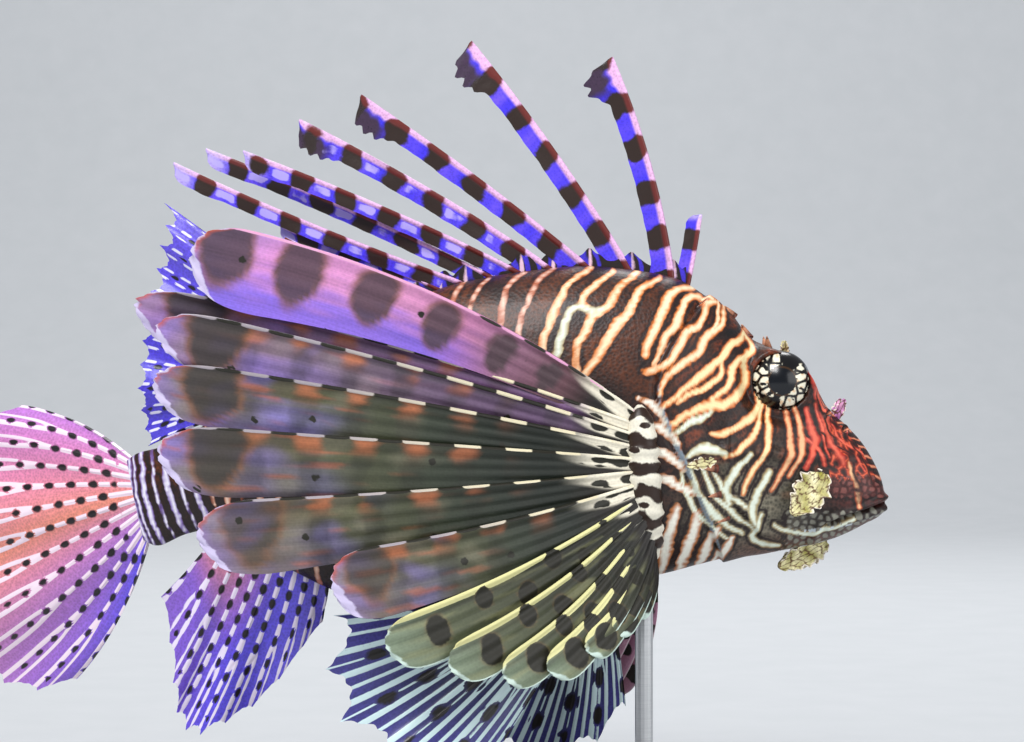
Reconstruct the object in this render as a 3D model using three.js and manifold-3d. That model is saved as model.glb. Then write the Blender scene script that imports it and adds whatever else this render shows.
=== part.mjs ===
import * as THREE from 'three';
import { mergeVertices } from 'three/addons/utils/BufferGeometryUtils.js';
import Module from 'manifold-3d';

// A still, life-size red lionfish on a plain display stand, in millimetres.
// The fish looks along +X, its right side faces -Y and +Z is up. The origin is the middle of the
// stand's underside. Headings of rays and spines are a rise above the tailward level line and a
// lean outward from the middle plane, both in degrees.

const wasm = await Module();
wasm.setup();

const TOUCH_GAP = 0.3;
const RIGHT = -1;
const LEFT = 1;
const DEGREE = Math.PI / 180;

// Stand
const BASE_LENGTH = 200;
const BASE_WIDTH = 130;
const BASE_HEIGHT = 12;
const BASE_CORNER = 14;
const BASE_BEVEL = 1.5;
const ROD_RADIUS = 3;
const ROD_FRONT_X = 44;
const ROD_REAR_X = -30;

// Sections of the body from the lips to the tail root. Each has its upper and its lower end in side
// view and half its width: [upper x, upper z, lower x, lower z, half width].
const SECTIONS = [
  [124.2, 117.6, 123.6, 112.8, 3.0],
  [122.8, 124.0, 121.6, 110.9, 6.4],
  [119.6, 131.0, 117.6, 108.9, 9.0],
  [115.6, 137.0, 112.8, 106.4, 11.0],
  [110.2, 142.6, 107.2, 104.0, 12.8],
  [104.4, 148.4, 101.2, 102.2, 14.2],
  [99.6, 157.2, 95.4, 101.0, 15.6],
  [93.8, 164.6, 89.0, 99.8, 17.2],
  [86.0, 167.6, 82.0, 98.5, 18.8],
  [78.8, 171.2, 75.6, 98.0, 20.6],
  [72.6, 179.2, 69.0, 97.0, 22.4],
  [64.4, 184.8, 60.0, 94.8, 24.0],
  [54.4, 190.6, 51.0, 92.4, 25.2],
  [40.3, 193.4, 38.0, 89.8, 25.6],
  [25.0, 194.7, 24.0, 86.8, 25.0],
  [8.0, 193.4, 8.0, 82.8, 23.8],
  [-10.0, 190.6, -8.0, 80.4, 22.0],
  [-26.0, 186.4, -24.0, 81.2, 19.8],
  [-42.0, 177.4, -41.0, 82.8, 17.2],
  [-58.0, 167.8, -57.0, 85.8, 14.2],
  [-75.0, 157.8, -71.5, 92.2, 11.4],
  [-91.0, 148.6, -85.5, 99.8, 9.0],
  [-105.0, 140.6, -98.0, 106.2, 7.4],
  [-117.0, 134.6, -109.0, 105.0, 6.0],
  [-126.4, 132.0, -119.0, 100.8, 4.4],
  [-130.6, 129.4, -124.6, 102.4, 2.4],
];
// Each body part runs between two places along the sections: [from, to, rings, sides]
const HEAD_LOFT = [0, 13.7, 30, 28];
const TRUNK_LOFT = [9.6, 19.6, 18, 28];
const TAIL_LOFT = [18, 25, 11, 22];
const FLANK_ROUNDNESS = 0.85;
const BEND_START_X = -45;
const BEND_RATE = 0.00217;

// Lines, in side view, where the body parts meet: gill opening, start of the tail, mouth
const GILL_LINE = [
  [72, 202], [67, 188], [58.5, 177], [50.5, 166], [46.8, 154], [50.0, 142],
  [55.5, 130], [61, 118], [65.5, 107], [69.5, 97], [73, 84],
];
const TAIL_LINE = [[-52, 190], [-53.5, 172], [-57, 128], [-58, 84], [-58, 70]];
const MOUTH_LINE = [[134, 116.6], [124, 116.2], [116, 113.4], [108, 111.2], [102.5, 109.2]];
const JAW_REAR_LINE = [[100.2, 106], [97.6, 101.5], [94, 92]];

// Eye
const EYE_X = 88.3;
const EYE_Z = 156.3;
const EYE_SIDE = 10.8;
const EYE_RADIUS = 10.0;
const EYE_DEPTH = 7.6;
const LID_RADIUS = 10.1;
const LID_TUBE = 1.7;
const LID_SIDE = 12.4;

// Relief and small forms of the head
const HEAD_HALF_WIDTH = 20;
const GILL_COVER_RISE = 1.3;
const GILL_COVER_FADE = 14;
const CHEEK_RIDGE = [[112, 131], [64, 134]];
const CHEEK_RIDGE_RISE = 1.0;
const CHEEK_RIDGE_SPREAD = 2.4;
const LIP_RADIUS = 1.5;
const LIP_CORNER_PLACE = 4.6;
const LIP_STEPS = 8;
// Spines of the head on each side: [x, z, length, radius, rise, lean]
const HEAD_SPINES = [
  [78.5, 171.5, 4.5, 1.6, 62, 20],
  [73.0, 178.5, 4.0, 1.5, 48, 16],
  [85.0, 167.5, 4.5, 1.5, 80, 30],
  [65.5, 128.0, 5.0, 1.5, 4, 22],
  [66.5, 119.5, 4.5, 1.5, -12, 22],
  [69.5, 111.5, 4.0, 1.4, -24, 22],
];
// Leafy skin flaps on each side: [x, z, length, width, rise, lean]
const HEAD_FLAPS = [
  [107.8, 144.5, 7, 3.4, 112, 25],
  [91.0, 166.0, 4.5, 2.4, 84, 35],
  [99.0, 124.0, 13, 9.0, -48, 22],
  [65.0, 130.5, 9, 4.0, -12, 20],
];
const JAW_FLAPS = [[103.8, 101.8, 17, 8.0, -27, 8]];
const FLAP_THICKNESS = 0.8;

// Fin membranes and rays
const BLADE_ROWS = [0, 0.22, 0.46, 0.7, 0.9, 1];
const SPINE_ROWS = [0, 0.08, 0.2, 0.5, 0.82, 0.89, 0.97, 1];
const MEMBRANE = 0.55;
const RAY_ROOT = 1.5;
const RAY_TIP = 0.8;
const ROOT_SINK = 3;

// Pectoral rays from the uppermost down: [rise, length, lean, width at the tip, sweep of the curve]
const PECTORAL_RAYS = [
  [24.6, 149, 14.8, 24, -12],
  [16.2, 156, 11.6, 19, -4],
  [15.6, 150, 15.3, 19, -3],
  [10.8, 149, 15.8, 20, -2],
  [4.6, 146, 16.2, 23, 0],
  [-3.6, 136, 16.8, 25, 2],
  [-12.2, 102, 21.1, 24, 5],
  [-25.6, 94, 21.7, 19, 8],
  [-34.6, 81, 23.5, 16, 11],
  [-43.5, 70, 25.7, 14, 13],
  [-50.1, 58, 28.0, 13, 15],
  [-55.4, 44, 30.8, 11, 17],
  [-59.9, 32, 35.0, 9, 18],
  [-64.4, 21, 40.0, 8, 18],
];
// Across each pectoral panel from its ray: [share of the width, reach past the ray, shift behind it]
const PETAL_COLUMNS = [[0, 0.95, 0], [0.12, 1.025, 0.5], [0.55, 1.075, 1.4], [1, 1.035, 2]];
// The left fin's lower rays reach further forward and are longer in this pose.
const LEFT_RAY_DROP = 2.2;
const LEFT_RAY_GROWTH = 6.6;
const FIRST_DROPPED_RAY = 6;
const PECTORAL_TOP = [41.5, 146];
const PECTORAL_FOOT = [45, 99];
const PAD_HALF_LENGTH = 5.2;
const PAD_THICKNESS = 4.2;

// Dorsal spines from the first:
// [root x, rise, length, ribbon width, lean, flare of the tip flag, forward bow in degrees]
const DORSAL_SPINES = [
  [59.3, 100.0, 24, 5.0, 0, 0.1, 2],
  [54.0, 74.4, 77, 7.0, 3.0, 0.7, 8],
  [40.0, 55.2, 94, 7.0, -2.4, 0.6, 4.5],
  [26.0, 36.8, 95, 6.6, 3.0, 0.45, 3],
  [13.7, 30.6, 99, 6.6, -2.9, 0.3, 4.5],
  [3.2, 23.5, 101, 5.4, 2.3, 0.1, 3.5],
  [-6.2, 24.1, 106, 5.2, -3.3, 0.1, 3],
  [-15.3, 22.2, 105, 5.2, 1.6, 0.1, -3],
  [-23.7, 22.0, 58, 4.8, -2.0, 0.1, 2],
  [-32.3, 26.0, 48, 4.8, 3.0, 0.1, 2],
  [-40.7, 29.0, 40, 4.4, -3.0, 0.1, 2],
  [-48.4, 33.0, 36, 4.0, 2.0, 0.1, 2],
];
const SPINE_THICKNESS_ROOT = 2.0;
const SPINE_THICKNESS_TIP = 0.9;
const WEB_START_X = 58;
const WEB_END_X = -51;
const WEB_HEIGHT = 4.5;
const WEB_THICKNESS = 1.0;

// Soft dorsal fin: the last spine leads eleven soft rays along the rear of the back.
const SOFT_DORSAL_START_X = -56.5;
const SOFT_DORSAL_END_X = -99;
const SOFT_DORSAL_RAYS = 12;

// Anal fin from the first of three spines: [rise, length]
const ANAL_START_X = -61.5;
const ANAL_END_X = -98;
const ANAL_RAYS = [
  [-80, 12], [-78, 22], [-75, 36], [-72, 49], [-69, 58], [-67, 65],
  [-66, 67], [-65, 63], [-64, 54], [-60, 43], [-48, 31],
];

// Tail fin
const CAUDAL_RAYS = 13;
const CAUDAL_TOP_RISE = 25;
const CAUDAL_FOOT_RISE = -62;
const CAUDAL_LENGTH = 82;
const CAUDAL_MIDDLE_RISE = -21;
const CAUDAL_LEAN = 21;

// Pelvic fins from the spine to the innermost ray: [rise, length]
const PELVIC_RAYS_RIGHT = [[-60, 74], [-52, 86], [-42, 94], [-31, 98], [-20, 93], [-9, 83]];
const PELVIC_RAYS_LEFT = [[-101, 60], [-92, 73], [-83, 79], [-74, 82], [-64, 80], [-55, 72]];
const PELVIC_X = 29.3;
const PELVIC_Z = 93.5;
const PELVIC_SIDE = 9;
const PELVIC_ROOT = 9;

// Plain measures of curves

function mix(from, to, share) {
  return from + (to - from) * share;
}

function smooth(from, to, value) {
  return THREE.MathUtils.smoothstep(value, Math.min(from, to), Math.max(from, to));
}

// A value between rows of a table, along a curve that passes through every row
function between(rows, place, column) {
  const last = rows.length - 1;
  const index = Math.min(Math.max(Math.floor(place), 0), last - 1);
  const share = place - index;
  const at = (i) => rows[Math.min(Math.max(i, 0), last)][column];
  const [a, b, c, d] = [at(index - 1), at(index), at(index + 1), at(index + 2)];
  const bendIn = (c - a) / 2;
  const bendOut = (d - b) / 2;
  const square = share * share;
  const cube = square * share;
  return (2 * cube - 3 * square + 1) * b + (cube - 2 * square + share) * bendIn
    + (3 * square - 2 * cube) * c + (cube - square) * bendOut;
}

function bendAt(x) {
  return BEND_RATE * Math.max(BEND_START_X - x, 0) ** 2;
}

// Unit vector of a ray or spine
function heading(rise, lean, side) {
  const up = rise * DEGREE;
  const out = lean * DEGREE;
  return new THREE.Vector3(-Math.cos(up) * Math.cos(out), side * Math.sin(out), Math.sin(up) * Math.cos(out));
}

// Closed surfaces and solids

function closedSurface(points, triangles) {
  const geometry = new THREE.BufferGeometry();
  geometry.setFromPoints(points);
  geometry.setIndex(triangles);
  const [a, b, c] = [new THREE.Vector3(), new THREE.Vector3(), new THREE.Vector3()];
  let volume = 0;
  for (let i = 0; i < triangles.length; i += 3) {
    a.copy(points[triangles[i]]);
    b.copy(points[triangles[i + 1]]);
    c.copy(points[triangles[i + 2]]);
    volume += a.dot(b.cross(c));
  }
  if (volume < 0) {
    geometry.setIndex([...triangles].reverse());
  }
  return geometry;
}

// Rings of points joined into a tube, each end closed on the middle of its ring
function loft(rings) {
  const around = rings[0].length;
  const points = rings.flat();
  const triangles = [];
  for (let i = 0; i + 1 < rings.length; i += 1) {
    for (let j = 0; j < around; j += 1) {
      const a = i * around + j;
      const b = i * around + (j + 1) % around;
      triangles.push(a, b, b + around, a, b + around, a + around);
    }
  }
  for (const [ring, reversed] of [[0, true], [rings.length - 1, false]]) {
    const middle = new THREE.Vector3();
    rings[ring].forEach((point) => middle.addScaledVector(point, 1 / around));
    points.push(middle);
    for (let j = 0; j < around; j += 1) {
      const a = ring * around + j;
      const b = ring * around + (j + 1) % around;
      triangles.push(points.length - 1, reversed ? b : a, reversed ? a : b);
    }
  }
  return closedSurface(points, triangles);
}

// A thin sheet with two faces split alike and a rim: points[i][j] is its middle surface
function sheet(points, thickness) {
  const rows = points.length;
  const columns = points[0].length;
  const faces = [];
  const { clamp } = THREE.MathUtils;
  const at = (i, j) => points[clamp(i, 0, rows - 1)][clamp(j, 0, columns - 1)];
  for (let i = 0; i < rows; i += 1) {
    for (let j = 0; j < columns; j += 1) {
      const along = at(i + 1, j).clone().sub(at(i - 1, j));
      const across = at(i, j + 1).clone().sub(at(i, j - 1));
      const normal = along.cross(across).normalize().multiplyScalar(thickness(i, j) / 2);
      faces.push(points[i][j].clone().add(normal), points[i][j].clone().sub(normal));
    }
  }
  const front = (i, j) => 2 * (i * columns + j);
  const triangles = [];
  for (let i = 0; i + 1 < rows; i += 1) {
    for (let j = 0; j + 1 < columns; j += 1) {
      const [a, b, c, d] = [front(i, j), front(i + 1, j), front(i + 1, j + 1), front(i, j + 1)];
      triangles.push(a, b, c, a, c, d);
      triangles.push(c + 1, b + 1, a + 1, d + 1, c + 1, a + 1);
    }
  }
  const rim = [];
  for (let i = 0; i + 1 < rows; i += 1) {
    rim.push([front(i + 1, 0), front(i, 0)], [front(i, columns - 1), front(i + 1, columns - 1)]);
  }
  for (let j = 0; j + 1 < columns; j += 1) {
    rim.push([front(0, j), front(0, j + 1)], [front(rows - 1, j + 1), front(rows - 1, j)]);
  }
  for (const [a, b] of rim) {
    triangles.push(a, b, b + 1, a, b + 1, a + 1);
  }
  return closedSurface(faces, triangles);
}

function toSolid(geometry) {
  const bare = geometry.clone();
  bare.deleteAttribute('normal');
  bare.deleteAttribute('uv');
  const merged = mergeVertices(bare, 1e-4);
  return new wasm.Manifold(new wasm.Mesh({
    numProp: 3,
    vertProperties: new Float32Array(merged.attributes.position.array),
    triVerts: new Uint32Array(merged.index.array),
  }));
}

function toGeometry(solid) {
  const { vertProperties, triVerts } = solid.getMesh();
  const geometry = new THREE.BufferGeometry();
  geometry.setAttribute('position', new THREE.BufferAttribute(vertProperties, 3));
  geometry.setIndex(new THREE.BufferAttribute(triVerts, 1));
  geometry.computeVertexNormals();
  return geometry;
}

function joined(solids) {
  return solids.reduce((whole, solid) => whole.add(solid));
}

function largestPiece(solid) {
  const pieces = solid.decompose();
  return pieces.reduce((best, piece) => (piece.volume() > best.volume() ? piece : best));
}

// A block through the whole width, with the given outline in side view
function sideBlock(outline) {
  const reach = 90;
  const shape = new THREE.Shape(outline.map(([x, z]) => new THREE.Vector2(x, z)));
  const block = new THREE.ExtrudeGeometry(shape, { depth: 2 * reach, bevelEnabled: false });
  block.translate(0, 0, -reach);
  block.rotateX(90 * DEGREE);
  return toSolid(block);
}

// Body

function sectionAt(place) {
  return SECTIONS[0].map((_, column) => between(SECTIONS, place, column));
}

function bodyPoint(place, turn, grow = 0) {
  const [upperX, upperZ, lowerX, lowerZ, half] = sectionAt(place);
  const height = Math.hypot(upperX - lowerX, upperZ - lowerZ) / 2;
  const up = Math.cos(turn) * (height + grow) / height / 2;
  const swell = Math.sign(Math.sin(turn)) * Math.abs(Math.sin(turn)) ** FLANK_ROUNDNESS;
  const x = (upperX + lowerX) / 2 + (upperX - lowerX) * up;
  const z = (upperZ + lowerZ) / 2 + (upperZ - lowerZ) * up;
  return new THREE.Vector3(x, bendAt(x) - (half + grow) * swell, z);
}

// Place along the sections of the one that passes through a point in side view
function placeOf(x, z) {
  let [low, high] = [0, SECTIONS.length - 1];
  while (high - low > 1e-4) {
    const place = (low + high) / 2;
    const [upperX, upperZ, lowerX, lowerZ] = sectionAt(place);
    const ahead = (x - lowerX) * (upperZ - lowerZ) - (z - lowerZ) * (upperX - lowerX);
    if (ahead > 0) {
      high = place;
    } else {
      low = place;
    }
  }
  return (low + high) / 2;
}

// Half the body's width at a point in side view
function halfWidthAt(x, z) {
  const place = placeOf(x, z);
  const [, upperZ, , lowerZ, half] = sectionAt(place);
  const level = THREE.MathUtils.clamp((2 * z - upperZ - lowerZ) / (upperZ - lowerZ), -1, 1);
  return half * Math.sqrt(1 - level * level) ** FLANK_ROUNDNESS;
}

// Height at x of the back (columns 0 and 1 of the sections) or of the belly (columns 2 and 3)
function edgeHeight(x, column) {
  let [low, high] = [0, SECTIONS.length - 1];
  while (high - low > 1e-4) {
    const place = (low + high) / 2;
    if (between(SECTIONS, place, column) > x) {
      low = place;
    } else {
      high = place;
    }
  }
  return between(SECTIONS, low, column + 1);
}

const backHeight = (x) => edgeHeight(x, 0);
const bellyHeight = (x) => edgeHeight(x, 2);

// A length of the body. shape moves each of its points, or leaves it.
function bodyLength([from, to, steps, around], grow = 0, shape = (point) => point) {
  const rings = [];
  for (let i = 0; i <= steps; i += 1) {
    const place = mix(from, to, i / steps);
    rings.push(Array.from({ length: around }, (_, j) => {
      const turn = 2 * Math.PI * j / around;
      return shape(bodyPoint(place, turn, grow));
    }));
  }
  return toSolid(loft(rings));
}

function curveThrough(line, steps) {
  return Array.from({ length: steps + 1 }, (_, i) => {
    const place = (line.length - 1) * i / steps;
    return [between(line, place, 0), between(line, place, 1)];
  });
}

const gillCurve = curveThrough(GILL_LINE, 18);
const tailCurve = curveThrough(TAIL_LINE, 4);

// How far the gill cover and the ridge across the cheek stand out of the plain body
function headRelief({ x, z }) {
  const below = gillCurve.findIndex(([, height]) => height < z);
  const [from, to] = [gillCurve[Math.max(below - 1, 0)], gillCurve[Math.max(below, 1)]];
  const gillX = mix(from[0], to[0], (z - from[1]) / (to[1] - from[1]));
  const cover = GILL_COVER_RISE * (1 - smooth(0, GILL_COVER_FADE, x - gillX));
  const [[ridgeFront, ridgeHigh], [ridgeRear, ridgeLow]] = CHEEK_RIDGE;
  const share = THREE.MathUtils.clamp((x - ridgeFront) / (ridgeRear - ridgeFront), 0, 1);
  const distance = Math.hypot(x - mix(ridgeFront, ridgeRear, share), z - mix(ridgeHigh, ridgeLow, share));
  return cover + CHEEK_RIDGE_RISE * Math.exp(-((distance / CHEEK_RIDGE_SPREAD) ** 2));
}

// The head without its small forms. Its relief fades to nothing on the middle plane.
function headBlank(grow = 0) {
  return bodyLength(HEAD_LOFT, grow, (point) => {
    point.y *= 1 + headRelief(point) / HEAD_HALF_WIDTH;
    return point;
  });
}

function mouthHeight(x) {
  const next = Math.max(MOUTH_LINE.findIndex(([place]) => place < x), 1);
  const [[fromX, fromZ], [toX, toZ]] = [MOUTH_LINE[next - 1], MOUTH_LINE[next]];
  return mix(fromZ, toZ, (x - fromX) / (toX - fromX));
}

// A rolled lip along one edge of the mouth, from corner to corner round the snout
function lip(offset) {
  const points = [];
  for (let i = -LIP_STEPS; i <= LIP_STEPS; i += 1) {
    const place = LIP_CORNER_PLACE * (Math.abs(i) / LIP_STEPS) ** 1.3;
    const [upperX, upperZ, lowerX, lowerZ] = sectionAt(place);
    const height = mouthHeight((upperX + lowerX) / 2) + offset;
    const level = THREE.MathUtils.clamp((2 * height - upperZ - lowerZ) / (upperZ - lowerZ), -1, 1);
    const point = bodyPoint(place, Math.acos(level));
    point.y *= Math.sign(i);
    points.push(point);
  }
  const round = new THREE.Shape();
  round.absarc(0, 0, LIP_RADIUS, 0, 2 * Math.PI);
  const path = new THREE.CatmullRomCurve3(points);
  const steps = 2 * LIP_STEPS;
  return toSolid(new THREE.ExtrudeGeometry(round, { steps, extrudePath: path, curveSegments: 3 }));
}

// A point of the head's surface given in side view
function skinPoint(x, z, side) {
  return new THREE.Vector3(x, side * halfWidthAt(x, z), z);
}

function headSpine([x, z, length, radius, rise, lean], side) {
  const forward = heading(rise, lean, side);
  const spine = new THREE.ConeGeometry(radius, length + 2, 5);
  spine.applyQuaternion(new THREE.Quaternion().setFromUnitVectors(new THREE.Vector3(0, 1, 0), forward));
  const middle = skinPoint(x, z, side).addScaledVector(forward, length / 2 - 1);
  spine.translate(middle.x, middle.y, middle.z);
  return toSolid(spine);
}

// A leafy flap of skin with lobed edges
function headFlap([x, z, length, width, rise, lean], side) {
  const forward = heading(rise, lean, side);
  const sideways = forward.clone().cross(new THREE.Vector3(0, 1, 0)).normalize();
  const root = skinPoint(x, z, side).addScaledVector(forward, -2);
  const points = [];
  for (let i = 0; i <= 5; i += 1) {
    const t = i / 5;
    const lobe = i % 2 ? 1.15 : 0.85;
    const half = width / 2 * lobe * (0.3 + 0.7 * Math.sin(Math.PI * 0.94 * t ** 0.8));
    points.push([-1, 0, 1].map((share) => root.clone()
      .addScaledVector(forward, (length + 2) * t * (1 - 0.12 * Math.abs(share)))
      .addScaledVector(sideways, half * share)));
  }
  return toSolid(sheet(points, () => FLAP_THICKNESS));
}

function lidRing(side) {
  const ring = new THREE.TorusGeometry(LID_RADIUS, LID_TUBE, 6, 22);
  ring.rotateX(90 * DEGREE);
  ring.translate(EYE_X, side * LID_SIDE, EYE_Z);
  return toSolid(ring);
}

function eyeball(side, grow = 0) {
  const ball = new THREE.SphereGeometry(1, 18, 12);
  ball.scale(EYE_RADIUS + grow, EYE_DEPTH + grow, EYE_RADIUS + grow);
  ball.translate(EYE_X, side * EYE_SIDE, EYE_Z);
  return toSolid(ball);
}

function jawRegion(grow) {
  const upper = MOUTH_LINE.map(([x, z]) => [x, z + grow]);
  const rear = JAW_REAR_LINE.map(([x, z]) => [x - grow, z]);
  return sideBlock([...upper, ...rear, [MOUTH_LINE[0][0], 90]]);
}

const headRegion = sideBlock([...gillCurve, [150, 84], [150, 202]]);
const skull = joined([headBlank(), lip(LIP_RADIUS * 0.8), lip(-LIP_RADIUS * 0.8)]).intersect(headRegion);
const headForms = [RIGHT, LEFT].flatMap((side) => [
  lidRing(side),
  ...HEAD_SPINES.map((spine) => headSpine(spine, side)),
  ...[...HEAD_FLAPS, ...JAW_FLAPS].map((flap) => headFlap(flap, side)),
]);
const wholeHead = joined([skull, ...headForms]);
const lowerJaw = largestPiece(wholeHead.intersect(jawRegion(0)));
const besideJaw = wholeHead.subtract(jawRegion(TOUCH_GAP));
const head = largestPiece(
  besideJaw.subtract(eyeball(RIGHT, TOUCH_GAP)).subtract(eyeball(LEFT, TOUCH_GAP)),
);

// The gill opening runs aslant, so the trunk steps back from it by more than the gap.
const trunkFront = gillCurve.map(([x, z]) => [x - 1.4 * TOUCH_GAP, z]);
const trunkRegion = sideBlock([...trunkFront, ...[...tailCurve].reverse()]);
const trunk = largestPiece(bodyLength(TRUNK_LOFT).intersect(trunkRegion));

const tailFront = tailCurve.map(([x, z]) => [x - TOUCH_GAP, z]);
const tailRegion = sideBlock([...tailFront, [-160, 70], [-160, 190]]);
const tailStem = largestPiece(bodyLength(TAIL_LOFT).intersect(tailRegion));

// Room that the fins leave round each part of the body
const headFront = gillCurve.map(([x, z]) => [x - TOUCH_GAP, z]);
const headSpace = headBlank(TOUCH_GAP).intersect(sideBlock([...headFront, [150, 84], [150, 202]]));
const trunkSpace = bodyLength(TRUNK_LOFT, TOUCH_GAP);
const tailSpace = bodyLength(TAIL_LOFT, TOUCH_GAP);

// Fins

// A ray that leaves its root in one heading and ends in another
function bentRay(root, start, end, length) {
  const turn = end.clone().sub(start);
  return (t) => root.clone().addScaledVector(start, length * t).addScaledVector(turn, length * t * t / 2);
}

function slope(curve, t) {
  const step = 0.01;
  return curve(t + step).sub(curve(t - step)).normalize();
}

// One blade: a ray or spine along its leading edge and the membrane that trails from it.
// columns lists [share of the width, reach past the ray's end, shift behind the ray].
function blade({ edge, rows, columns, widthAt, across, thickness }) {
  const points = [];
  for (const t of rows) {
    points.push(columns.map(([share, reach, shift]) => {
      const along = t * reach;
      const forward = slope(edge, along);
      const sideways = across(along, forward);
      const behind = forward.clone().cross(sideways);
      return edge(along)
        .addScaledVector(sideways, share * widthAt(t))
        .addScaledVector(behind, shift * Math.min(4 * t, 1));
    }));
  }
  return toSolid(sheet(points, (i, j) => thickness(rows[i], j)));
}

const rayThickness = (t) => mix(RAY_ROOT, RAY_TIP, t);

function pectoralRoot(share, side) {
  const x = mix(PECTORAL_TOP[0], PECTORAL_FOOT[0], share);
  const z = mix(PECTORAL_TOP[1], PECTORAL_FOOT[1], share);
  return new THREE.Vector3(x, side * (halfWidthAt(x, z) + 1), z);
}

function pectoralPad(side) {
  const rings = [];
  for (let i = 0; i <= 10; i += 1) {
    const share = i / 10;
    const middle = pectoralRoot(mix(-0.06, 1.06, share), side);
    const size = Math.sqrt(Math.max(1 - (2 * share - 1) ** 4, 0.06));
    rings.push(Array.from({ length: 10 }, (_, j) => {
      const turn = 2 * Math.PI * j / 10;
      return middle.clone().add(new THREE.Vector3(
        PAD_HALF_LENGTH * size * Math.cos(turn),
        PAD_THICKNESS * size * Math.sin(turn),
        0,
      ));
    }));
  }
  return toSolid(loft(rings));
}

function pectoralFin(side) {
  const pieces = [pectoralPad(side)];
  PECTORAL_RAYS.forEach(([rise, length, lean, width, sweep], i) => {
    const dropped = side === LEFT ? Math.max(i - FIRST_DROPPED_RAY, 0) : 0;
    const low = rise - LEFT_RAY_DROP * dropped;
    const root = pectoralRoot(i / (PECTORAL_RAYS.length - 1), side);
    const edge = bentRay(
      root,
      heading(low - sweep, lean, side),
      heading(low + sweep, lean, side),
      length + LEFT_RAY_GROWTH * dropped,
    );
    pieces.push(blade({
      edge,
      rows: BLADE_ROWS,
      columns: PETAL_COLUMNS.map(([share, reach, shift]) => [share, reach, shift * side]),
      widthAt: (t) => width * mix(0.2, 1, t ** 0.62) * (1 - 0.22 * smooth(0.88, 1, t)),
      across: (t, forward) => {
        const outward = new THREE.Vector3(0, side, 0);
        return forward.clone().cross(outward).multiplyScalar(side).normalize();
      },
      thickness: (t, column) => (column === 0 ? rayThickness(t) : MEMBRANE),
    }));
  });
  return largestPiece(joined(pieces).subtract(trunkSpace).subtract(headSpace));
}

function spinyDorsalFin() {
  const pieces = [];
  const web = [];
  for (let i = 0; i <= 20; i += 1) {
    const x = mix(WEB_START_X, WEB_END_X, i / 20);
    const back = new THREE.Vector3(x, bendAt(x), backHeight(x));
    web.push([-ROOT_SINK, WEB_HEIGHT].map((height) => back.clone().setZ(back.z + height)));
  }
  pieces.push(toSolid(sheet(web, () => WEB_THICKNESS)));
  DORSAL_SPINES.forEach(([x, rise, length, width, lean, flag, bow]) => {
    const forward = heading(rise, lean, RIGHT);
    const root = new THREE.Vector3(x, bendAt(x), backHeight(x)).addScaledVector(forward, -ROOT_SINK);
    const start = heading(rise + bow, lean, RIGHT);
    const end = heading(rise - bow, lean, RIGHT);
    pieces.push(blade({
      edge: bentRay(root, start, end, length + ROOT_SINK),
      rows: SPINE_ROWS,
      columns: [[0, 1, 0], [0.28, 1, 0], [1, 0.985, 0]],
      widthAt: (t) => width
        * (1 + 0.35 * (1 - smooth(0, 0.15, t)) + flag * smooth(0.82, 0.89, t))
        * (1 - 0.5 * smooth(0.965, 1, t)),
      across: (t, along) => along.clone().cross(new THREE.Vector3(0, 1, 0)).normalize(),
      thickness: (t, column) => (column < 2 ? mix(SPINE_THICKNESS_ROOT, SPINE_THICKNESS_TIP, t) : MEMBRANE),
    }));
  });
  return largestPiece(joined(pieces).subtract(trunkSpace));
}

// A fin whose rays stand side by side in one membrane. rays lists { root, start, end, length }.
function rayedFin({ rays, rows, tips, wave, notch }) {
  const edges = rays.map(({ root, start, end, length }) => bentRay(root, start, end, length));
  const columns = (rays.length - 1) * 2 * tips + 1;
  const points = [];
  for (let i = 0; i <= rows; i += 1) {
    const row = [];
    for (let j = 0; j < columns; j += 1) {
      const place = j / (2 * tips);
      const index = Math.min(Math.floor(place), rays.length - 2);
      const share = place - index;
      const reach = j % 2 === 0 ? 1 : 1 - notch;
      const t = i / rows * reach;
      const point = edges[index](t).lerp(edges[index + 1](t), share);
      point.y += wave * t * Math.sin(place * 1.9 + 2.2 * t);
      row.push(point);
    }
    points.push(row);
  }
  return toSolid(sheet(points, (i, j) => (j % (2 * tips) === 0 ? rayThickness(i / rows) : MEMBRANE)));
}

function softDorsalFin() {
  const rays = [];
  for (let i = 0; i < SOFT_DORSAL_RAYS; i += 1) {
    const share = i / (SOFT_DORSAL_RAYS - 1);
    const x = mix(SOFT_DORSAL_START_X, SOFT_DORSAL_END_X, share);
    const rise = 38 - 8 * share - 52 * share * share;
    const lean = -6 - 8 * share;
    const forward = heading(rise, lean, RIGHT);
    const length = i === 0 ? 79 : 77 - 50 * share;
    rays.push({
      root: new THREE.Vector3(x, bendAt(x), backHeight(x)).addScaledVector(forward, -ROOT_SINK),
      start: heading(rise + 4, lean, RIGHT),
      end: heading(rise - 4, lean - 6, RIGHT),
      length: length + ROOT_SINK,
    });
  }
  const fin = rayedFin({ rays, rows: 5, tips: 1, wave: 2, notch: 0.05 });
  return largestPiece(fin.subtract(tailSpace));
}

function analFin() {
  const rays = ANAL_RAYS.map(([rise, length], i) => {
    const x = mix(ANAL_START_X, ANAL_END_X, i / (ANAL_RAYS.length - 1));
    const forward = heading(rise, -5, RIGHT);
    return {
      root: new THREE.Vector3(x, bendAt(x), bellyHeight(x)).addScaledVector(forward, -ROOT_SINK),
      start: heading(rise - 4, -5, RIGHT),
      end: heading(rise + 4, -9, RIGHT),
      length: length + ROOT_SINK,
    };
  });
  const fin = rayedFin({ rays, rows: 5, tips: 1, wave: 2, notch: 0.06 });
  return largestPiece(fin.subtract(tailSpace));
}

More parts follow.
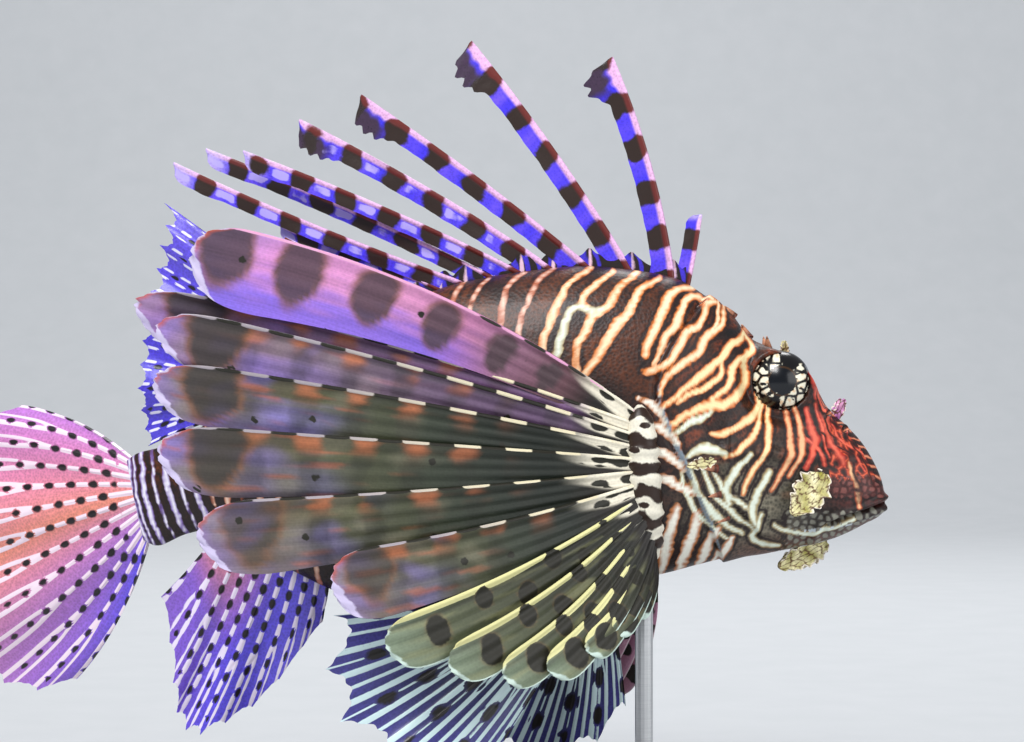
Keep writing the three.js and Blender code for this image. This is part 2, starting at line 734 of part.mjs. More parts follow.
function caudalFin() {
  const top = bodyPoint(25, 0);
  const foot = bodyPoint(25, Math.PI);
  const backward = heading(CAUDAL_MIDDLE_RISE, -CAUDAL_LEAN, RIGHT);
  const rays = [];
  for (let i = 0; i < CAUDAL_RAYS; i += 1) {
    const share = i / (CAUDAL_RAYS - 1);
    const rise = mix(CAUDAL_TOP_RISE, CAUDAL_FOOT_RISE, share);
    const outer = 2 * share - 1;
    const grown = 1 + 0.2 * smooth(0.45, 0.85, share) - (share > 0.5 ? 0.4 : 0.38) * Math.abs(outer) ** 3;
    const length = CAUDAL_LENGTH * grown;
    rays.push({
      root: top.clone().lerp(foot, mix(0.04, 0.96, share)).addScaledVector(backward, -ROOT_SINK),
      start: heading(mix(rise, CAUDAL_MIDDLE_RISE, -0.3), -CAUDAL_LEAN, RIGHT),
      end: heading(mix(rise, CAUDAL_MIDDLE_RISE, 0.4), -CAUDAL_LEAN - 8, RIGHT),
      length: length + ROOT_SINK,
    });
  }
  const fin = rayedFin({ rays, rows: 5, tips: 1, wave: 2.5, notch: 0.03 });
  return largestPiece(fin.subtract(tailSpace));
}

function pelvicFin(side, table, lean) {
  const rays = table.map(([rise, length], i) => {
    const share = i / (table.length - 1);
    const root = new THREE.Vector3(
      PELVIC_X - PELVIC_ROOT * share,
      side * PELVIC_SIDE,
      PELVIC_Z + ROOT_SINK - 3 * share,
    );
    return {
      root,
      start: heading(rise - 6, lean + 6, side),
      end: heading(rise + 6, lean - 4, side),
      length,
    };
  });
  const fin = rayedFin({ rays, rows: 5, tips: 2, wave: 2, notch: 0.12 });
  return largestPiece(fin.subtract(trunkSpace));
}

// Stand

function standBase() {
  const [halfLength, halfWidth] = [BASE_LENGTH / 2 - BASE_BEVEL, BASE_WIDTH / 2 - BASE_BEVEL];
  const shape = new THREE.Shape();
  shape.absarc(halfLength - BASE_CORNER, halfWidth - BASE_CORNER, BASE_CORNER, 0, 90 * DEGREE);
  shape.absarc(BASE_CORNER - halfLength, halfWidth - BASE_CORNER, BASE_CORNER, 90 * DEGREE, 180 * DEGREE);
  shape.absarc(BASE_CORNER - halfLength, BASE_CORNER - halfWidth, BASE_CORNER, 180 * DEGREE, 270 * DEGREE);
  shape.absarc(halfLength - BASE_CORNER, BASE_CORNER - halfWidth, BASE_CORNER, 270 * DEGREE, 360 * DEGREE);
  const plate = new THREE.ExtrudeGeometry(shape, {
    depth: BASE_HEIGHT - 2 * BASE_BEVEL,
    bevelThickness: BASE_BEVEL,
    bevelSize: BASE_BEVEL,
    bevelSegments: 1,
    curveSegments: 5,
  });
  plate.translate(0, 0, BASE_BEVEL);
  return toSolid(plate);
}

function standRod(x) {
  const foot = BASE_HEIGHT + TOUCH_GAP;
  const top = bellyHeight(x) + 8;
  const rod = new THREE.CylinderGeometry(ROD_RADIUS, ROD_RADIUS, top - foot, 16);
  rod.rotateX(90 * DEGREE);
  rod.translate(x, 0, (top + foot) / 2);
  return largestPiece(toSolid(rod).subtract(trunkSpace));
}

// Colours and nodes

const SKIN = { color: 0x7a3026, roughness: 0.55, metalness: 0 };
const MEMBRANE_FINISH = { color: 0x6f6aa8, roughness: 0.5, metalness: 0 };
const NODES = [
  ['head', head, { ...SKIN, color: 0xa85a3c }],
  ['lower_jaw', lowerJaw, { ...SKIN, color: 0xb9826a }],
  ['trunk', trunk, SKIN],
  ['tail_stem', tailStem, { ...SKIN, color: 0x4e2a33 }],
  ['eye_right', eyeball(RIGHT), { color: 0x141210, roughness: 0.1, metalness: 0 }],
  ['eye_left', eyeball(LEFT), { color: 0x141210, roughness: 0.1, metalness: 0 }],
  ['fin_dorsal_spiny', spinyDorsalFin(), { ...MEMBRANE_FINISH, color: 0x6a4fc4 }],
  ['fin_dorsal_soft', softDorsalFin(), { ...MEMBRANE_FINISH, color: 0x5a50c8 }],
  ['fin_anal', analFin(), { ...MEMBRANE_FINISH, color: 0x8b7bd0 }],
  ['fin_caudal', caudalFin(), { ...MEMBRANE_FINISH, color: 0xc88fb0 }],
  ['fin_pectoral_right', pectoralFin(RIGHT), { ...MEMBRANE_FINISH, color: 0x8f8a68 }],
  ['fin_pectoral_left', pectoralFin(LEFT), { ...MEMBRANE_FINISH, color: 0x9a7f78 }],
  ['fin_pelvic_right', pelvicFin(RIGHT, PELVIC_RAYS_RIGHT, 18), { ...MEMBRANE_FINISH, color: 0x6f7f92 }],
  ['fin_pelvic_left', pelvicFin(LEFT, PELVIC_RAYS_LEFT, 24), { ...MEMBRANE_FINISH, color: 0x6f7f92 }],
  ['stand_base', standBase(), { color: 0x2a2a2c, roughness: 0.6, metalness: 0 }],
  ['stand_rod_front', standRod(ROD_FRONT_X), { color: 0xb8babd, roughness: 0.3, metalness: 1 }],
  ['stand_rod_rear', standRod(ROD_REAR_X), { color: 0xb8babd, roughness: 0.3, metalness: 1 }],
];

const group = new THREE.Group();
for (const [name, solid, finish] of NODES) {
  const mesh = new THREE.Mesh(toGeometry(solid), new THREE.MeshStandardMaterial(finish));
  mesh.name = name;
  group.add(mesh);
}

export default group;
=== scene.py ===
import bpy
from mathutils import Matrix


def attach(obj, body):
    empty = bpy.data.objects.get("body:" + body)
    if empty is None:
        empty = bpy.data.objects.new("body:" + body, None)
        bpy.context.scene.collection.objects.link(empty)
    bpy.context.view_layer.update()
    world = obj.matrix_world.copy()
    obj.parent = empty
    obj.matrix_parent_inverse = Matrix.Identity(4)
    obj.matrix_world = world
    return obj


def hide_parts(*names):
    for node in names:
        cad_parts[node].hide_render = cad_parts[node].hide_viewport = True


bl_info = {
    "name": "Red lionfish display model",
    "version": (1, 0, 0),
    "blender": (4, 5, 0),
    "location": "3D View > Sidebar > Lionfish",
    "description": "Dresses the packed solids of a red lionfish on its stand",
    "category": "Object",
}

import bpy
import numpy as np
from bpy.props import FloatProperty, FloatVectorProperty, PointerProperty
from bpy.types import Operator, Panel, PropertyGroup
from mathutils import Vector

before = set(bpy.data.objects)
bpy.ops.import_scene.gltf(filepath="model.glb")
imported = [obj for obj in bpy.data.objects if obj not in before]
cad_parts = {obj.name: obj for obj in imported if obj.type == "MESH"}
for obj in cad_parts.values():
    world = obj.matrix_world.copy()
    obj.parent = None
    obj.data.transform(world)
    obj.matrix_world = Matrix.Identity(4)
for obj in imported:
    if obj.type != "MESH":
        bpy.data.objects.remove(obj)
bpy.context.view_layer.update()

# Lengths are in millimetres. The fish looks along +X, its right side faces -Y and +Z is up.
MM = 0.001
RIGHT, LEFT = -1, 1

# Sections of the body from the lips to the tail root, each with its upper and lower end in side
# view and half its width: upper x, upper z, lower x, lower z, half width.
SECTIONS = np.array([
    (124.2, 117.6, 123.6, 112.8, 3.0), (122.8, 124.0, 121.6, 110.9, 6.4), (119.6, 131.0, 117.6, 108.9, 9.0),
    (115.6, 137.0, 112.8, 106.4, 11.0), (110.2, 142.6, 107.2, 104.0, 12.8),
    (104.4, 148.4, 101.2, 102.2, 14.2),
    (99.6, 157.2, 95.4, 101.0, 15.6), (93.8, 164.6, 89.0, 99.8, 17.2), (86.0, 167.6, 82.0, 98.5, 18.8),
    (78.8, 171.2, 75.6, 98.0, 20.6), (72.6, 179.2, 69.0, 97.0, 22.4), (64.4, 184.8, 60.0, 94.8, 24.0),
    (54.4, 190.6, 51.0, 92.4, 25.2), (40.3, 193.4, 38.0, 89.8, 25.6), (25.0, 194.7, 24.0, 86.8, 25.0),
    (8.0, 193.4, 8.0, 82.8, 23.8), (-10.0, 190.6, -8.0, 80.4, 22.0), (-26.0, 186.4, -24.0, 81.2, 19.8),
    (-42.0, 177.4, -41.0, 82.8, 17.2), (-58.0, 167.8, -57.0, 85.8, 14.2), (-75.0, 157.8, -71.5, 92.2, 11.4),
    (-91.0, 148.6, -85.5, 99.8, 9.0), (-105.0, 140.6, -98.0, 106.2, 7.4), (-117.0, 134.6, -109.0, 105.0, 6.0),
    (-126.4, 132.0, -119.0, 100.8, 4.4), (-130.6, 129.4, -124.6, 102.4, 2.4),
])
FLANK_ROUNDNESS = 0.85
BEND_START_X, BEND_RATE = -45.0, 0.00217
HEAD_RINGS, BODY_RINGS, AROUND = 240, 130, 240
HEAD_END_PLACE = 13.0

# Lines of the head in side view
GILL_LINE = np.array([
    (72, 202), (67, 188), (58.5, 177), (50.5, 166), (46.8, 154), (50, 142), (55.5, 130), (61, 118),
    (65.5, 107),
    (69.5, 97), (73, 84),
], float)
MOUTH_LINE = np.array([(134, 116.6), (124, 116.2), (116, 113.4), (108, 111.2), (102.5, 109.2)], float)
EYE_X, EYE_Z, EYE_SIDE, EYE_RADIUS, EYE_DEPTH = 88.3, 156.3, 10.8, 10.0, 7.6

NET_COLOURS = {"coral": ("#9a2c1a", "#e8623c"), "maroon": ("#43201e", "#7c4640"),
               "steel": ("#4a4644", "#868478")}
CREST_COLOURS = ("#8e3018", "#e2926c")
# The photo's scale on the middle plane: pixels to a millimetre, and the pixel of the frame's origin
PHOTO_PX_PER_MM, PHOTO_ORIGIN_PX = 3, (512, 850)
# Pale lines of the skin, placed over the photo: half width, colour, points, all in its pixels
SKIN_LINES_PX = [
    # Trunk
    (2.6, "rose", [(465, 279), (452, 306), (447, 340), (452, 400), (464, 470), (478, 560)]),
    (2.4, "rose", [(490, 277), (478, 290), (470, 312), (466, 345), (472, 410), (486, 480), (500, 570)]),
    (3.0, "rose", [(526, 272), (510, 284), (504, 303), (499, 332), (500, 380), (512, 450), (528, 560)]),
    (2.8, "rose", [(556, 268), (540, 279), (529, 297), (522, 317), (518, 342), (520, 390), (533, 460),
                   (550, 570)]),
    (3.6, "sand", [(591, 269), (570, 283), (560, 300), (550, 320), (543, 340), (542, 360), (546, 400),
                   (560, 470)]),
    (3.2, "sand", [(613, 271), (598, 283), (584, 295), (580, 304), (590, 311)]),
    (3.0, "mint", [(604, 309), (590, 311), (575, 308), (567, 316), (562, 332), (557, 350), (553, 364),
                   (556, 400), (572, 470)]),
    (4.0, "sand", [(638, 272), (622, 284), (611, 300), (604, 309), (590, 318), (584, 332), (576, 345),
                   (574, 360), (577, 378)]),
    (4.6, "sand", [(658, 279), (643, 287), (632, 301), (626, 314), (613, 328), (602, 346), (593, 360),
                   (578, 380)]),
    (4.6, "sand", [(692, 288), (677, 289), (665, 300), (658, 316), (652, 330), (645, 342), (641, 356)]),
    (3.8, "sand", [(708, 303), (697, 297), (687, 299), (678, 311), (674, 325), (662, 337), (657, 350),
                   (651, 364)]),
    # Nape and gill cover
    (3.8, "sand", [(711, 306), (702, 307), (698, 319), (693, 328), (683, 334), (675, 347), (668, 360),
                   (658, 367), (640, 372)]),
    (2.4, "sand", [(714, 305), (715, 318), (712, 329), (703, 336)]),
    (3.6, "sand", [(722, 307), (720, 322), (713, 332), (702, 338), (695, 350), (684, 361), (670, 370),
                   (660, 380), (656, 394)]),
    (3.2, "amber", [(742, 318), (742, 331), (737, 340), (726, 346), (718, 357), (707, 367), (695, 377),
                    (683, 386), (672, 396), (660, 405)]),
    (2.6, "amber", [(718, 363), (717, 373), (708, 381), (697, 388), (684, 395), (672, 402)]),
    (3.0, "amber", [(744, 336), (750, 346), (744, 354), (735, 360), (729, 368), (725, 379), (721, 388),
                    (712, 395), (705, 399)]),
    (4.2, "amber", [(744, 352), (740, 364), (741, 377), (738, 388), (730, 397), (720, 404), (706, 404),
                    (694, 408), (680, 414), (667, 422)]),
    (2.6, "mint", [(706, 411), (695, 417), (682, 423), (671, 431)]),
    (3.2, "amber", [(754, 392), (754, 402), (750, 412), (741, 420), (728, 427), (714, 433), (707, 432)]),
    (2.8, "amber", [(757, 404), (754, 420), (750, 432), (744, 440), (733, 448), (720, 454)]),
    (3.4, "mint", [(720, 452), (707, 447), (696, 446), (684, 453)]),
    (2.8, "amber", [(760, 394), (764, 412), (763, 428), (762, 442), (757, 456), (746, 472), (738, 490)]),
    (3.4, "mint", [(744, 454), (732, 466), (722, 482), (724, 500)]),
    (3.2, "mint", [(764, 470), (754, 488), (748, 506), (750, 520)]),
    # Below the eye and cheek
    (2.6, "peach", [(781, 408), (783, 424), (786, 438), (784, 454), (776, 470), (768, 488)]),
    (2.6, "peach", [(789, 406), (793, 420), (797, 432), (796, 446), (792, 460), (784, 474)]),
    (3.6, "coral", [(801, 408), (806, 424), (810, 438), (806, 450), (802, 466)]),
    (2.2, "coral", [(797, 434), (806, 442), (815, 452), (820, 464)]),
    (4.6, "coral", [(797, 361), (807, 370), (813, 384), (815, 398), (820, 412), (822, 430), (829, 446),
                    (838, 462)]),
    (1.6, "coral", [(810, 404), (816, 420), (818, 438), (824, 456)]),
    # Snout
    (1.5, "coral", [(828, 424), (834, 434), (844, 444), (858, 452), (868, 462)]),
    (1.4, "coral", [(834, 420), (842, 431), (852, 439), (864, 446), (872, 456)]),
    (1.4, "coral", [(842, 424), (852, 432), (863, 440), (870, 446)]),
    (1.4, "coral", [(828, 432), (833, 444), (842, 452), (854, 459), (862, 470)]),
    (1.3, "coral", [(848, 418), (856, 427), (863, 434)]),
    (2.6, "peach", [(844, 462), (850, 476), (853, 490), (854, 504)]),
    # Gill cover rays and lower cheek
    (2.6, "mint", [(684, 462), (690, 482), (700, 500), (716, 516), (738, 530)]),
    (2.2, "mint", [(696, 462), (703, 480), (714, 497), (730, 511), (748, 524)]),
    (2.2, "mint", [(708, 470), (718, 486), (732, 498), (744, 506)]),
    (2.0, "mint", [(676, 470), (682, 490), (690, 506), (704, 520), (724, 534)]),
    (2.4, "mint", [(757, 512), (752, 524), (748, 534), (760, 542), (776, 545)]),
    (2.0, "mint", [(770, 522), (790, 530), (810, 530), (832, 524), (850, 516)]),
    # Breast
    (3.4, "ivory", [(634, 398), (646, 402), (655, 410), (661, 421)]),
    (4.0, "ivory", [(640, 424), (654, 426), (664, 432), (673, 442)]),
    (4.2, "ivory", [(640, 448), (656, 450), (668, 456), (680, 466)]),
    (4.0, "ivory", [(644, 474), (660, 476), (674, 482), (690, 490)]),
    (4.8, "ivory", [(652, 520), (646, 545), (644, 566)]),
    (5.0, "ivory", [(673, 505), (666, 530), (662, 552), (660, 572)]),
    (5.0, "ivory", [(694, 510), (688, 534), (682, 553), (677, 570)]),
    (4.2, "ivory", [(713, 524), (706, 540), (700, 555), (694, 568)]),
    (3.6, "ivory", [(728, 534), (720, 547), (712, 560)]),
]
# How much wider than their table's half width the lines of each colour are painted
LINE_GROWTH = {
    "rose": 1.1, "sand": 1.2, "mint": 1.45, "amber": 1.4, "peach": 1.35, "coral": 1.2, "ivory": 1.35,
    "lilac": 1.2,
}
BEAD_ROWS = [((89.3, 99.4), (108.0, 103.6)), ((97.3, 107.0), (112.5, 109.6))]
LINE_COLOURS = {
    # edge and middle of a line
    "rose": ("#b65c38", "#f4d2bc"), "sand": ("#d6701a", "#fdeac0"), "mint": ("#a8905c", "#e9f2e0"),
    "amber": ("#cf6214", "#fce6ae"), "peach": ("#ba4c1a", "#f4bd8c"), "coral": ("#a8241a", "#ea6a50"),
    "ivory": ("#b4682c", "#f9f6e8"), "lilac": ("#7f62b4", "#f2eefa"),
}


# Numbers and arrays

def smooth(low, high, value):
    """Rises from 0 at low to 1 at high along a cubic that is level at both ends."""
    share = np.clip((np.asarray(value, float) - low) / (high - low), 0, 1)
    return share * share * (3 - 2 * share)


def bump(value, middle, spread):
    """A bell round middle: e to the minus square of the distance over spread."""
    return np.exp(-(((value - middle) / spread) ** 2))


def through(table, place):
    """The table's row at any place between its rows, on a cubic with the slopes of the neighbours."""
    table = np.asarray(table, float)
    place = np.asarray(place, float)
    last = len(table) - 1
    index = np.clip(np.floor(place).astype(int), 0, last - 1)
    share = (place - index)[..., None]
    before, here, there, after = (table[np.clip(index + step, 0, last)] for step in (-1, 0, 1, 2))
    cube, square = share ** 3, share ** 2
    return ((2 * cube - 3 * square + 1) * here + (cube - 2 * square + share) * (there - before) / 2
            + (3 * square - 2 * cube) * there + (cube - square) * (after - here) / 2)


def unit(vectors):
    """Vectors shortened or stretched to length one."""
    return vectors / np.maximum(np.linalg.norm(vectors, axis=-1, keepdims=True), 1e-9)


def to_linear(text):
    """A hex colour in sRGB as linear red, green and blue."""
    value = np.array([int(text[i:i + 2], 16) for i in (1, 3, 5)]) / 255
    return np.where(value <= 0.04045, value / 12.92, ((value + 0.055) / 1.055) ** 2.4)


def blend(first, second, share):
    """A straight mix of two values or colours."""
    return first + (second - first) * share


def wander(points, size, seed):
    """Smooth wandering between -1 and 1: the mean of six sine waves of about one size."""
    rng = np.random.default_rng(seed)
    total = 0.0
    for _ in range(6):
        direction = unit(rng.normal(size=points.shape[-1]))
        total = total + np.sin(points @ direction * (2 * np.pi / (size * rng.uniform(0.7, 1.5)))
                               + rng.uniform(0, 6.3))
    return total / 6 * 1.6


def bend_at(x):
    """Sideways bend of the body toward its tail: a parabola behind BEND_START_X."""
    return BEND_RATE * np.maximum(BEND_START_X - x, 0) ** 2


def heading(rise, lean, side):
    """Unit vector that points tailward, turned up by rise and outward by lean, in degrees."""
    up, out = np.radians(rise), np.radians(lean)
    return np.stack(np.broadcast_arrays(-np.cos(up) * np.cos(out), side * np.sin(out),
                                        np.sin(up) * np.cos(out)), -1)


def cells(points, size, seed):
    """Distances to the nearest and second nearest of scattered points, one in each square of the size."""
    square = np.floor(points / size)
    first, second = np.full(len(points), 1e9), np.full(len(points), 1e9)
    for dx in (-1, 0, 1):
        for dz in (-1, 0, 1):
            corner = square + (dx, dz)
            jitter = np.stack([np.sin(corner @ (127.1 + k * 81.3, 311.7 + seed)) * 43758.5453
                               for k in (0, 1)], -1)
            away = np.linalg.norm((corner + 0.15 + 0.7 * (jitter % 1.0)) * size - points, axis=1)
            second = np.minimum(second, np.maximum(first, away))
            first = np.minimum(first, away)
    return first, second


# Body

def body_point(place, turn):
    """Surface of the body: an ellipse-like ring at each place, its sides swollen by a power of the sine."""
    row = through(SECTIONS, place)
    up = np.cos(turn)[..., None] / 2
    level = (row[..., 0:2] + row[..., 2:4]) / 2 + (row[..., 0:2] - row[..., 2:4]) * up
    swell = np.sign(np.sin(turn)) * np.abs(np.sin(turn)) ** FLANK_ROUNDNESS
    x = level[..., 0]
    return np.stack([x, bend_at(x) - row[..., 4] * swell, level[..., 1]], -1)


def place_of(x, z):
    """Place along the sections of the one through a point in side view, found by halving."""
    low, high = np.zeros(np.shape(x)), np.full(np.shape(x), len(SECTIONS) - 1.0)
    for _ in range(22):
        middle = (low + high) / 2
        row = through(SECTIONS, middle)
        ahead = ((x - row[..., 2]) * (row[..., 1] - row[..., 3]) - (z - row[..., 3])
                 * (row[..., 0] - row[..., 2]))
        low, high = np.where(ahead > 0, low, middle), np.where(ahead > 0, middle, high)
    return (low + high) / 2


def half_width(x, z):
    """Half the body's width at a point in side view."""
    row = through(SECTIONS, place_of(x, z))
    level = np.clip((2 * z - row[..., 1] - row[..., 3]) / (row[..., 1] - row[..., 3]), -1, 1)
    return row[..., 4] * np.sqrt(1 - level ** 2) ** FLANK_ROUNDNESS


def edge_height(x, upper=True):
    """Height of the back or the belly at x, from finely read sections."""
    rows = through(SECTIONS, np.linspace(0, len(SECTIONS) - 1, 600))
    columns = (0, 1) if upper else (2, 3)
    return np.interp(x, rows[::-1, columns[0]], rows[::-1, columns[1]])


def skin_point(x, z, side):
    """A point of the skin given in side view."""
    return np.stack([x, side * half_width(x, z) + bend_at(x), z], -1)


def line_distance(points, line):
    """Distance from points to a polyline in side view, and the share of the line that is nearest."""
    best, share = np.full(len(points), 1e9), np.zeros(len(points))
    for k in range(len(line) - 1):
        start, along = line[k], line[k + 1] - line[k]
        t = np.clip(((points - start) @ along) / (along @ along), 0, 1)
        away = np.linalg.norm(points - start - t[:, None] * along, axis=1)
        nearer = away < best
        best, share = np.where(nearer, away, best), np.where(nearer, (k + t) / (len(line) - 1), share)
    return best, share


# Meshes and pieces

def grid_faces(rows, columns, first=0, wrap=False):
    """Quads between the neighbours of a grid numbered row by row."""
    i = np.arange(rows - 1)[:, None]
    j = np.arange(columns if wrap else columns - 1)[None, :]
    a = i * columns + j
    b = i * columns + (j + 1) % columns
    return np.stack([a, b, b + columns, a + columns], -1).reshape(-1, 4) + first


def loft(rings):
    """Rings joined into a tube; each end closes on the middle of its ring. Gives points and faces."""
    rows, columns = rings.shape[:2]
    points = np.concatenate([rings.reshape(-1, 3), rings[[0, -1]].mean(axis=1)])
    j = np.arange(columns)
    k = (j + 1) % columns
    top, foot = rows * columns, rows * columns + 1
    caps = np.concatenate([
        np.stack([np.full(columns, top), k, j], -1),
        np.stack([np.full(columns, foot), j + (rows - 1) * columns, k + (rows - 1) * columns], -1),
    ])
    return points, [grid_faces(rows, columns, wrap=True), caps]


def sheet(middle, thickness):
    """Two faces set off from a middle surface by half the thickness along its normal, and a rim."""
    rows, columns = middle.shape[:2]
    normal = unit(np.cross(np.gradient(middle, axis=0), np.gradient(middle, axis=1)))
    shift = normal * np.broadcast_to(thickness, (rows, columns))[..., None] / 2
    count = rows * columns
    points = np.concatenate([(middle + shift).reshape(-1, 3), (middle - shift).reshape(-1, 3)])
    back = grid_faces(rows, columns)
    front = back[:, ::-1]
    number = np.arange(count).reshape(rows, columns)
    rim = np.concatenate([number[:-1, 0], number[-1, :-1], number[:0:-1, -1], number[0, :0:-1]])
    ahead = np.roll(rim, -1)
    sides = np.stack([ahead, rim, rim + count, ahead + count], -1)
    return points, [front, back + count, sides]


class Shell:
    """Points, faces and painted values of one piece, gathered part by part."""

    def __init__(self):
        """Starts with no points, faces or painted values."""
        self.points, self.faces, self.paint, self.count = [], [], {}, 0

    def add(self, surface, **paint):
        """
        Takes one surface and its painted values: one value for all its points, or one for each point of
        its grid, which the second face of a sheet and the middles of a tube's ends repeat.
        """
        points, faces = surface
        self.points.append(points)
        self.faces += [block + self.count for block in faces]
        self.count += len(points)
        for name, value in paint.items():
            width = (3,) if name in COLOUR_LAYERS else ()
            value = np.asarray(value, float)
            if value.shape != width:
                value = value.reshape((-1,) + width)
                if len(value) * 2 == len(points):
                    value = np.concatenate([value, value])
                elif len(value) + 2 == len(points):
                    value = np.concatenate([value, value[[0, -1]]])
            self.paint.setdefault(name, []).append(np.broadcast_to(value, (len(points),) + width))

    def build(self, name, material, slot, nodes=()):
        """Makes the object, paints it, hangs it on the root body and hides any solids that it stands for."""
        mesh = bpy.data.meshes.new(name)
        faces = [row for block in self.faces for row in block.tolist()]
        mesh.from_pydata((np.concatenate(self.points) * MM).tolist(), [], faces)
        for layer, values in self.paint.items():
            values = np.concatenate(values)
            if layer in COLOUR_LAYERS:
                data = mesh.attributes.new(layer, "FLOAT_COLOR", "POINT").data
                data.foreach_set("color",
                                 np.column_stack([values, np.ones(len(values))]).astype(np.float32).ravel())
            else:
                mesh.attributes.new(layer, "FLOAT", "POINT").data.foreach_set("value",
                                                                              values.astype(np.float32))
        mesh.polygons.foreach_set("use_smooth", np.ones(len(mesh.polygons), bool))
        mesh.set_sharp_from_angle(angle=np.radians(60))
        mesh.materials.append(material)
        mesh.validate()
        piece = bpy.data.objects.new(name, mesh)
        bpy.context.scene.collection.objects.link(piece)
        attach(piece, "root")
        if nodes:
            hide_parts(*nodes)
        return piece


COLOUR_LAYERS = ("ground", "mark", "pale")


# Materials

def add_node(tree, kind, settings=None, links=None):
    """Adds one node, gives it its settings and inputs, and links the sockets named."""
    node = tree.nodes.new(kind)
    for key, value in (settings or {}).items():
        if isinstance(key, int) or key in node.inputs:
            node.inputs[key].default_value = value
        else:
            setattr(node, key, value)
    for key, socket in (links or {}).items():
        tree.links.new(socket, node.inputs[key])
    return node


def painted(name, roughness, grain_mm, relief_mm, wobble, edge, coat=0.0, streak=0.0, fleck=0.5,
            see_through=False):
    """
    Painted surface of three tones that the piece's own layers place: the ground, marks where the field
    passes one half, and pale parts where the light field does. Noise of the grain's size makes the
    edges of the marks wander and roughens the surface.
    """
    material = bpy.data.materials.new(name)
    material.use_nodes = True
    tree = material.node_tree
    tree.nodes.clear()
    place = add_node(tree, "ShaderNodeTexCoord").outputs["Object"]
    layer = {key: add_node(tree, "ShaderNodeAttribute", {"attribute_name": key}) for key in
             ("ground", "mark", "pale", "field", "light", "across", "opacity")}
    grain = add_node(tree, "ShaderNodeTexNoise", {"Scale": 1 / (grain_mm * MM), "Detail": 3.0},
                     {"Vector": place})
    grains = add_node(tree, "ShaderNodeTexVoronoi", {"Scale": 1 / (grain_mm * MM)}, {"Vector": place})
    masks = {}
    for key in ("field", "light"):
        moved = add_node(tree, "ShaderNodeMath", {"operation": "MULTIPLY_ADD", 1: wobble, 2: -wobble / 2},
                         {0: grain.outputs["Fac"]})
        summed = add_node(tree, "ShaderNodeMath", {"operation": "ADD"},
                          {0: layer[key].outputs["Fac"], 1: moved.outputs[0]})
        masks[key] = add_node(tree, "ShaderNodeMapRange", {
            "interpolation_type": "SMOOTHSTEP", "From Min": 0.5 - edge, "From Max": 0.5 + edge,
        }, {"Value": summed.outputs[0]}).outputs["Result"]
    # Fine light and dark lines that run along each ray, drawn about 0.6 mm apart so that they show
    stripe = add_node(tree, "ShaderNodeTexNoise", {"noise_dimensions": "1D", "Scale": 1.6, "Detail": 2.0},
                      {"W": layer["across"].outputs["Fac"]})
    shade = add_node(tree, "ShaderNodeMath", {"operation": "MULTIPLY_ADD", 1: 2 * streak, 2: 1 - streak},
                     {0: stripe.outputs["Fac"]})
    speck = add_node(tree, "ShaderNodeMath", {"operation": "MULTIPLY_ADD", 1: fleck, 2: 1 - fleck / 2},
                     {0: grains.outputs["Distance"]})
    value = add_node(tree, "ShaderNodeMath", {"operation": "MULTIPLY"},
                     {0: shade.outputs[0], 1: speck.outputs[0]})
    ground = add_node(tree, "ShaderNodeVectorMath", {"operation": "SCALE"},
                      {0: layer["ground"].outputs["Color"], "Scale": value.outputs[0]})
    marked = add_node(tree, "ShaderNodeMix", {"data_type": "RGBA"},
                      {0: masks["field"], 6: ground.outputs[0], 7: layer["mark"].outputs["Color"]})
    whole = add_node(tree, "ShaderNodeMix", {"data_type": "RGBA"},
                     {0: masks["light"], 6: marked.outputs[2], 7: layer["pale"].outputs["Color"]})
    raised = add_node(tree, "ShaderNodeBump", {"Strength": 0.6, "Distance": relief_mm * MM},
                      {"Height": grains.outputs["Distance"]})
    links = {"Base Color": whole.outputs[2], "Normal": raised.outputs["Normal"]}
    if see_through:
        links["Alpha"] = layer["opacity"].outputs["Fac"]
    finish = add_node(tree, "ShaderNodeBsdfPrincipled", {
        "Roughness": roughness, "IOR": 1.45, "Coat Weight": coat, "Coat Roughness": 0.15,
    }, links)
    add_node(tree, "ShaderNodeOutputMaterial", None, {"Surface": finish.outputs[0]})
    return material


# Skin

def gill_distance(x, z):
    """Distance in x ahead of the gill opening."""
    order = GILL_LINE[::-1]
    curve = through(order, np.linspace(0, len(order) - 1, 60))
    return x - np.interp(z, curve[:, 1], curve[:, 0])


